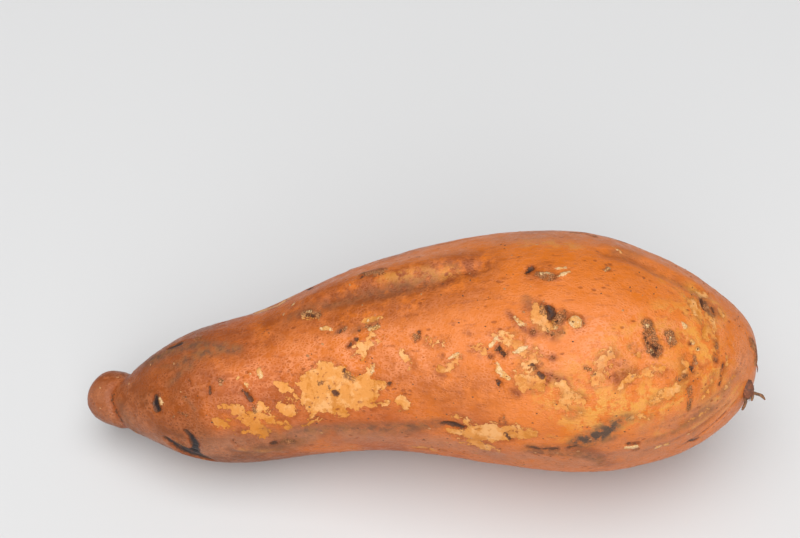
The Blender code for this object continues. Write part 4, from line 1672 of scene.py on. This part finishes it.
class FleckTree(PieceTree):
    """The tree that strews small corky lenses over the skin."""

    LENGTH_TO_WIDTH = 1.6

    def __init__(self) -> None:
        """Builds the tree."""
        labels = ("Spacing", "Density", "Least Size", "Greatest Size", "Thickness", "Clumping")
        inputs = {label: "NodeSocketFloat" for label in (*labels, "Clear Height")}
        super().__init__("strewn_flecks", {**inputs, "Seed": "NodeSocketInt"})
        build, given = self.build, self.given
        values = {"Mesh": given["Geometry"], "Distance Min": given["Spacing"]}
        values.update({"Density Max": given["Density"], "Density Factor": self._chance()})
        values["Seed"] = given["Seed"]
        kind = "GeometryNodeDistributePointsOnFaces"
        points = build.add(kind, values, distribute_method="POISSON").outputs
        values = {2: given["Least Size"], 3: given["Greatest Size"], "Seed": given["Seed"]}
        size = build.add("FunctionNodeRandomValue", values, data_type="FLOAT").outputs[1]
        sides = {0: build.times(size, self.LENGTH_TO_WIDTH), 1: size}
        sides[2] = build.times(size, given["Thickness"])
        scale = build.add("ShaderNodeCombineXYZ", sides)
        lens = build.add("GeometryNodeMeshIcoSphere", {"Radius": 1.0, "Subdivisions": 2})
        values = {"Points": points["Points"], "Instance": lens.outputs[0]}
        values.update({"Rotation": points["Rotation"], "Scale": scale.outputs[0]})
        self._dress(build.add("GeometryNodeInstanceOnPoints", values).outputs[0])

    def _chance(self) -> Socket:
        """Adds the chance of a fleck: in clumps, and none low down, where the tuber rests.

        Returns:
            The chance's socket.
        """
        build, given = self.build, self.given
        clumps = build.add("ShaderNodeTexNoise", {"Scale": given["Clumping"], "Detail": 3.0}).outputs[0]
        place = build.add("GeometryNodeInputPosition").outputs[0]
        height = build.add("ShaderNodeSeparateXYZ", {0: place}).outputs["Z"]
        clear = build.math("GREATER_THAN", height, given["Clear Height"])
        return build.times(build.span(clumps, 0.42, 0.66), clear)

    def strew(
        self, pattern: FleckPattern, skin: bpy.types.Object, effects: SharedEffects
    ) -> bpy.types.Object:
        """Makes one piece of flecks that lie on the skin.

        Args:
            pattern: How they lie.
            skin: What they lie on.
            effects: The shared node groups, for their material.

        Returns:
            The flecks' object.
        """
        finish = pattern.finish.material(effects)
        piece = bpy.data.objects.new(pattern.name, skin.data.copy())
        bpy.context.scene.collection.objects.link(piece)
        self.run(piece, {**pattern.inputs(), "Finish": finish})
        return piece


def closed_piece(name: str, vertices: list, faces: list) -> bpy.types.Object:
    """Makes an object whose faces all turn outward.

    Args:
        name: The object's name.
        vertices: Its points.
        faces: The points of each face.

    Returns:
        The object.
    """
    mesh = bpy.data.meshes.new(name)
    mesh.from_pydata(vertices, [], faces)
    work = bmesh.new()
    work.from_mesh(mesh)
    bmesh.ops.recalc_face_normals(work, faces=work.faces)
    work.to_mesh(mesh)
    work.free()
    piece = bpy.data.objects.new(name, mesh)
    bpy.context.scene.collection.objects.link(piece)
    return piece


@dataclass(frozen=True)
class RootPath:
    """A tapering root: its bends in millimetres from its seat, and its thickness at each."""

    name: str
    bends: tuple[Point, ...]
    girths: tuple[float, ...]
    steps: int = 6
    sides: int = 14
    cap: tuple[float, ...] = (0.35, 0.75, 0.97)
    cap_length: float = 0.6

    def build(self, seat: Vector) -> bpy.types.Object:
        """Makes the root as a closed tube with rounded ends.

        Args:
            seat: Where its bends are measured from.

        Returns:
            The root's object.
        """
        places, radii = self._smoothed()
        directions = np.gradient(places, axis=0)
        directions /= np.linalg.norm(directions, axis=1)[:, None]
        side = np.cross(directions[0], (0.3, 0.5, 0.8))
        turns = np.linspace(0, math.tau, self.sides, endpoint=False)
        rings = []
        for place, direction, radius in zip(places, directions, radii):
            side = side - direction * side.dot(direction)
            side /= np.linalg.norm(side)
            other = np.cross(direction, side)
            circle = np.cos(turns)[:, None] * side + np.sin(turns)[:, None] * other
            rings.append(place + circle * radius)
        vertices = [Vector(point) * MM + seat for ring in rings for point in ring]
        return closed_piece(self.name, vertices, self._faces(len(rings)))

    def _smoothed(self) -> tuple[np.ndarray, np.ndarray]:
        """Eases the path between its bends and rounds it off at both ends.

        Returns:
            The path's points and its radius at each.
        """
        bends, girths = np.array(self.bends), np.array(self.girths) / 2
        knots = np.arange(len(bends))
        fine = np.linspace(0, len(bends) - 1, self.steps * (len(bends) - 1) + 1)
        places = np.stack([np.interp(fine, knots, bends[:, axis]) for axis in range(3)], axis=1)
        eased = places.copy()
        for _ in range(self.steps // 2):
            eased[1:-1] = (eased[:-2] + 2 * eased[1:-1] + eased[2:]) / 4
        radii = np.interp(fine, knots, girths)
        start, end = eased[0] - eased[1], eased[-1] - eased[-2]
        start, end = start / np.linalg.norm(start), end / np.linalg.norm(end)
        bulge = np.array(self.cap)
        round_off = np.sqrt(1 - bulge**2)
        head = eased[0] + np.outer(bulge[::-1] * radii[0] * self.cap_length, start)
        foot = eased[-1] + np.outer(bulge * radii[-1] * self.cap_length, end)
        places = np.concatenate([head, eased, foot])
        radii = np.concatenate([round_off[::-1] * radii[0], radii, round_off * radii[-1]])
        return places, radii

    def _faces(self, count: int) -> list[tuple[int, ...]]:
        """Joins the rings of points with quads and closes each end with a cap.

        Args:
            count: How many rings there are.

        Returns:
            The points of each face.
        """
        sides = self.sides
        faces = [tuple(range(sides))[::-1], tuple(range((count - 1) * sides, count * sides))]
        for ring in range(count - 1):
            for side in range(sides):
                here, after = ring * sides + side, ring * sides + (side + 1) % sides
                faces.append((here, after, after + sides, here + sides))
        return faces


@dataclass(frozen=True)
class TailRoot:
    """The knob at the tail with its stub, its broken rootlets and its hairs."""

    seat: Vector
    barky: tuple[RootPath, ...] = (
        RootPath(
            "root_knob",
            ((-0.7, 0.9, 2.1), (-0.2, -0.3, 0.9), (0.2, -1.4, -0.4),
             (0.3, -2.2, -1.4), (0.1, -2.8, -2.2)),
            (2.0, 3.6, 4.1, 3.5, 2.1),
            steps=7,
            sides=26,
        ),
        RootPath(
            "root_stub",
            ((0.4, -1.6, -0.8), (1.3, -1.9, -1.2), (1.9, -2.2, -1.6)),
            (1.9, 1.7, 1.1),
            sides=16,
        ),
    )
    strawy: tuple[RootPath, ...] = (
        RootPath(
            "rootlet_long",
            ((-0.1, -2.2, -1.5), (-0.2, -3.0, -2.4), (-0.1, -3.8, -3.3),
             (-0.6, -4.7, -4.2), (-1.1, -5.4, -4.9)),
            (1.2, 1.1, 1.0, 0.85, 0.55),
        ),
        RootPath(
            "rootlet_side",
            ((1.4, -1.9, -1.3), (2.6, -1.9, -1.5), (3.7, -2.1, -1.7),
             (4.7, -2.4, -2.0), (5.5, -3.1, -2.8)),
            (1.2, 0.95, 0.9, 0.95, 0.5),
        ),
        RootPath(
            "rootlet_short",
            ((1.6, -2.0, -1.5), (1.9, -2.7, -2.3), (1.6, -3.3, -3.0)),
            (1.1, 0.9, 0.75),
        ),
        RootPath(
            "root_hair_1",
            ((-0.9, -1.6, -0.7), (-1.3, -2.2, -1.8), (-1.3, -2.9, -2.7)),
            (0.35, 0.28, 0.16),
            sides=8,
        ),
        RootPath(
            "root_hair_2",
            ((-0.6, -2.0, -1.3), (-0.9, -2.7, -2.4), (-1.6, -3.4, -3.1)),
            (0.32, 0.26, 0.14),
            sides=8,
        ),
        RootPath(
            "root_hair_3",
            ((1.0, -2.2, -1.5), (1.3, -2.8, -2.5), (0.8, -3.5, -3.2)),
            (0.30, 0.24, 0.14),
            sides=8,
        ),
    )
    swell_size: float = 1.5 * MM
    swell_share: float = 0.36
    wrinkle_size: float = 0.5 * MM
    wrinkle_share: float = 0.14

    def build(
        self, relief: ReliefTree, bark: bpy.types.Material, straw: bpy.types.Material
    ) -> list[bpy.types.Object]:
        """Makes the knob, the stub, the rootlets and the hairs.

        Args:
            relief: The tree that makes them lumpy.
            bark: The knob's and the stub's material.
            straw: The rootlets' and the hairs' material.

        Returns:
            Their objects.
        """
        pieces = []
        for path in (*self.barky, *self.strawy):
            piece = path.build(self.seat)
            thick = max(path.girths) * MM
            finish = bark if path in self.barky else straw
            swell = (thick * self.swell_share, self.swell_size)
            wrinkle = (thick * self.wrinkle_share, self.wrinkle_size)
            relief.work(piece, finish, swell, wrinkle, seed=float(len(pieces)))
            pieces.append(piece)
        return pieces


@dataclass(frozen=True)
class TailScab:
    """The dry scab on the rim of the tail, with a hair root."""

    places: tuple[tuple[float, float], ...] = (
        (211.6, 84), (212.8, 72), (213.4, 60), (213.2, 46), (212.2, 38)
    )
    girths: tuple[float, ...] = (0.9, 1.7, 2.1, 1.8, 0.9)
    sunk: float = 0.35
    hair_from: tuple[float, float] = (213.0, 44)
    hair: RootPath = RootPath(
        "scab_hair",
        ((-0.3, 0.2, 0.2), (0.5, -0.9, -0.7), (0.8, -1.7, -1.6), (0.7, -2.3, -2.5)),
        (0.45, 0.36, 0.30, 0.16),
        sides=8,
    )
    scab_swell: float = 0.8 * MM
    hair_swell: float = 0.12 * MM
    swell_size: float = 1.3 * MM
    wrinkle_size: float = 0.5 * MM
    wrinkle_share: float = 0.5

    def build(
        self, form: TuberForm, relief: ReliefTree, bark: bpy.types.Material
    ) -> list[bpy.types.Object]:
        """Makes the scab and its hair.

        Args:
            form: The tuber's form, which says where the skin is.
            relief: The tree that makes the scab lumpy.
            bark: Its material.

        Returns:
            Their objects.
        """
        sunk = Vector((self.sunk, 0.0, 0.0))
        bends = tuple(tuple(form.place(*place) / MM - sunk) for place in self.places)
        scab = RootPath("tail_scab", bends, self.girths, sides=20).build(Vector())
        strand = self.hair.build(form.place(*self.hair_from))
        for piece, height in ((scab, self.scab_swell), (strand, self.hair_swell)):
            wrinkle = (height * self.wrinkle_share, self.wrinkle_size)
            relief.work(piece, bark, (height, self.swell_size), wrinkle, seed=3.0)
        return [scab, strand]


@dataclass
class Tuber:
    """The tuber's skin: its mesh, its marks and its material."""

    form: TuberForm
    marks: Marks
    tone_places: tuple[float, ...] = (0, 22, 42, 58, 75, 100, 140, 222)
    tones: tuple[float, ...] = (-0.02, 0.04, 0.14, 0.50, 0.68, 0.84, 1.08, 1.06)
    # How far the low sides are darkened along the tuber: painted shade, partly their browner colour.
    shade_places: tuple[float, ...] = (0, 40, 60, 115, 140, 222)
    shade_depths: tuple[float, ...] = (0.1, 0.2, 0.50, 0.48, 0.30, 0.20)
    brightest_turn: float = 52.0
    swell: tuple[float, float] = (1.0 * MM, 17.0 * MM)
    wrinkle: tuple[float, float] = (0.30 * MM, 3.2 * MM)

    def build(self, relief: ReliefTree, finish: bpy.types.Material) -> bpy.types.Object:
        """Makes the skin as one closed mesh.

        Args:
            relief: The tree that swells and wrinkles it.
            finish: The skin's material.

        Returns:
            The skin's object.
        """
        tuber = self._closed()
        self._store_marks(tuber.data)
        relief.work(tuber, finish, self.swell, self.wrinkle, seed=4.0)
        self._rest(tuber.data)
        return tuber

    def _closed(self) -> bpy.types.Object:
        """Makes the marked form: its rings joined by quads and closed by a pole at each end.

        Returns:
            The skin's object.
        """
        rings, points = self.form.rings, self.form.ring_points
        reach = self.form.reach + self.marks.relief * MM
        skin = self.form.axis_points[:, None, :] + self.form.outward * reach[..., None]
        poles = [skin[0].mean(axis=0), skin[-1].mean(axis=0)]
        vertices = np.concatenate([skin.reshape(-1, 3), poles])
        ring, point = np.divmod(np.arange((rings - 1) * points), points)
        turned = (point + 1) % points
        here, there = ring * points, (ring + 1) * points
        quads = np.stack([here + point, here + turned, there + turned, there + point], axis=1)
        faces = quads.tolist()
        stem_pole, tail_pole, end = rings * points, rings * points + 1, (rings - 1) * points
        for start in range(points):
            after = (start + 1) % points
            faces.append((stem_pole, after, start))
            faces.append((tail_pole, end + start, end + after))
        return closed_piece("tuber", vertices.tolist(), faces)

    def _tone(self) -> np.ndarray:
        """Works out the skin's tone: browner at the stem end, darker low on the sides, partly painted
        shade.

        Returns:
            The tone at each point of each ring.
        """
        along = self.form.along[:, None] / MM
        turn = np.degrees(self.form.around)[None, :]
        above = (turn - self.brightest_turn + 180) % 360 - 180
        # Painted shade: darker below the lit top, fading out round the back.
        low = smooth_step(22, 54, -above) * (1 - smooth_step(95, 165, -above))
        low = low * np.interp(along, self.shade_places, self.shade_depths)
        return np.interp(along, self.tone_places, self.tones) - low

    def _store_marks(self, mesh: bpy.types.Mesh) -> None:
        """Keeps each field of marks as an attribute.

        Args:
            mesh: The skin's mesh, whose points run ring by ring and end with the two poles.
        """
        fields = {kind.value: values for kind, values in self.marks.fields.items()}
        fields["tone"] = self._tone()
        for name, values in fields.items():
            poles = [values[0].mean(), values[-1].mean()]
            flat = np.concatenate([values.reshape(-1), poles]).astype(np.float32)
            mesh.attributes.new(name, "FLOAT", "POINT").data.foreach_set("value", flat)

    @staticmethod
    def _rest(mesh: bpy.types.Mesh) -> None:
        """Lets the ground flatten whatever lies lower than it.

        Args:
            mesh: The skin's mesh.
        """
        places = np.zeros(len(mesh.vertices) * 3, dtype=np.float32)
        mesh.vertices.foreach_get("co", places)
        places = places.reshape(-1, 3)
        places[:, 2] = np.maximum(places[:, 2], 0.0)
        mesh.vertices.foreach_set("co", places.reshape(-1))
        mesh.update()


ROOT_BARK = BarkFinish("root_bark", (0.26, 0.078, 0.030, 1.0), (0.09, 0.028, 0.012, 1.0))
ROOTLET_BARK = BarkFinish("rootlet_bark", (0.30, 0.135, 0.052, 1.0), (0.085, 0.034, 0.012, 1.0))


def hang(piece: bpy.types.Object) -> None:
    """Makes a piece ride on the one body.

    Args:
        piece: The piece.
    """
    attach(piece, "root")
    log.info("%s: %d faces", piece.name, len(piece.data.polygons))


def main() -> None:
    """Builds the tuber and its studio."""
    logging.basicConfig(level=logging.INFO, format="%(name)s: %(message)s")
    form = TuberForm()
    strokes = [*STEM_END_MARKS, *SCRAPED_PATCHES, *SCABS_AND_HOLES, *FORM_AND_TINT]
    marks = Marks(form, strokes + HiddenSideMarks().strokes())
    effects, relief, flecks = SharedEffects(), ReliefTree(), FleckTree()
    tuber = Tuber(form, marks).build(relief, SkinFinish().material(effects))
    hang(tuber)
    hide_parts("sweet_potato")
    for pattern in FLECK_PATTERNS:
        hang(flecks.strew(pattern, tuber, effects))
    bark, straw = ROOT_BARK.material(effects), ROOTLET_BARK.material(effects)
    for piece in TailRoot(form.root_seat).build(relief, bark, straw):
        hang(piece)
    for piece in TailScab().build(form, relief, bark):
        hang(piece)
    Studio().build()


if __name__ == "__main__":
    main()
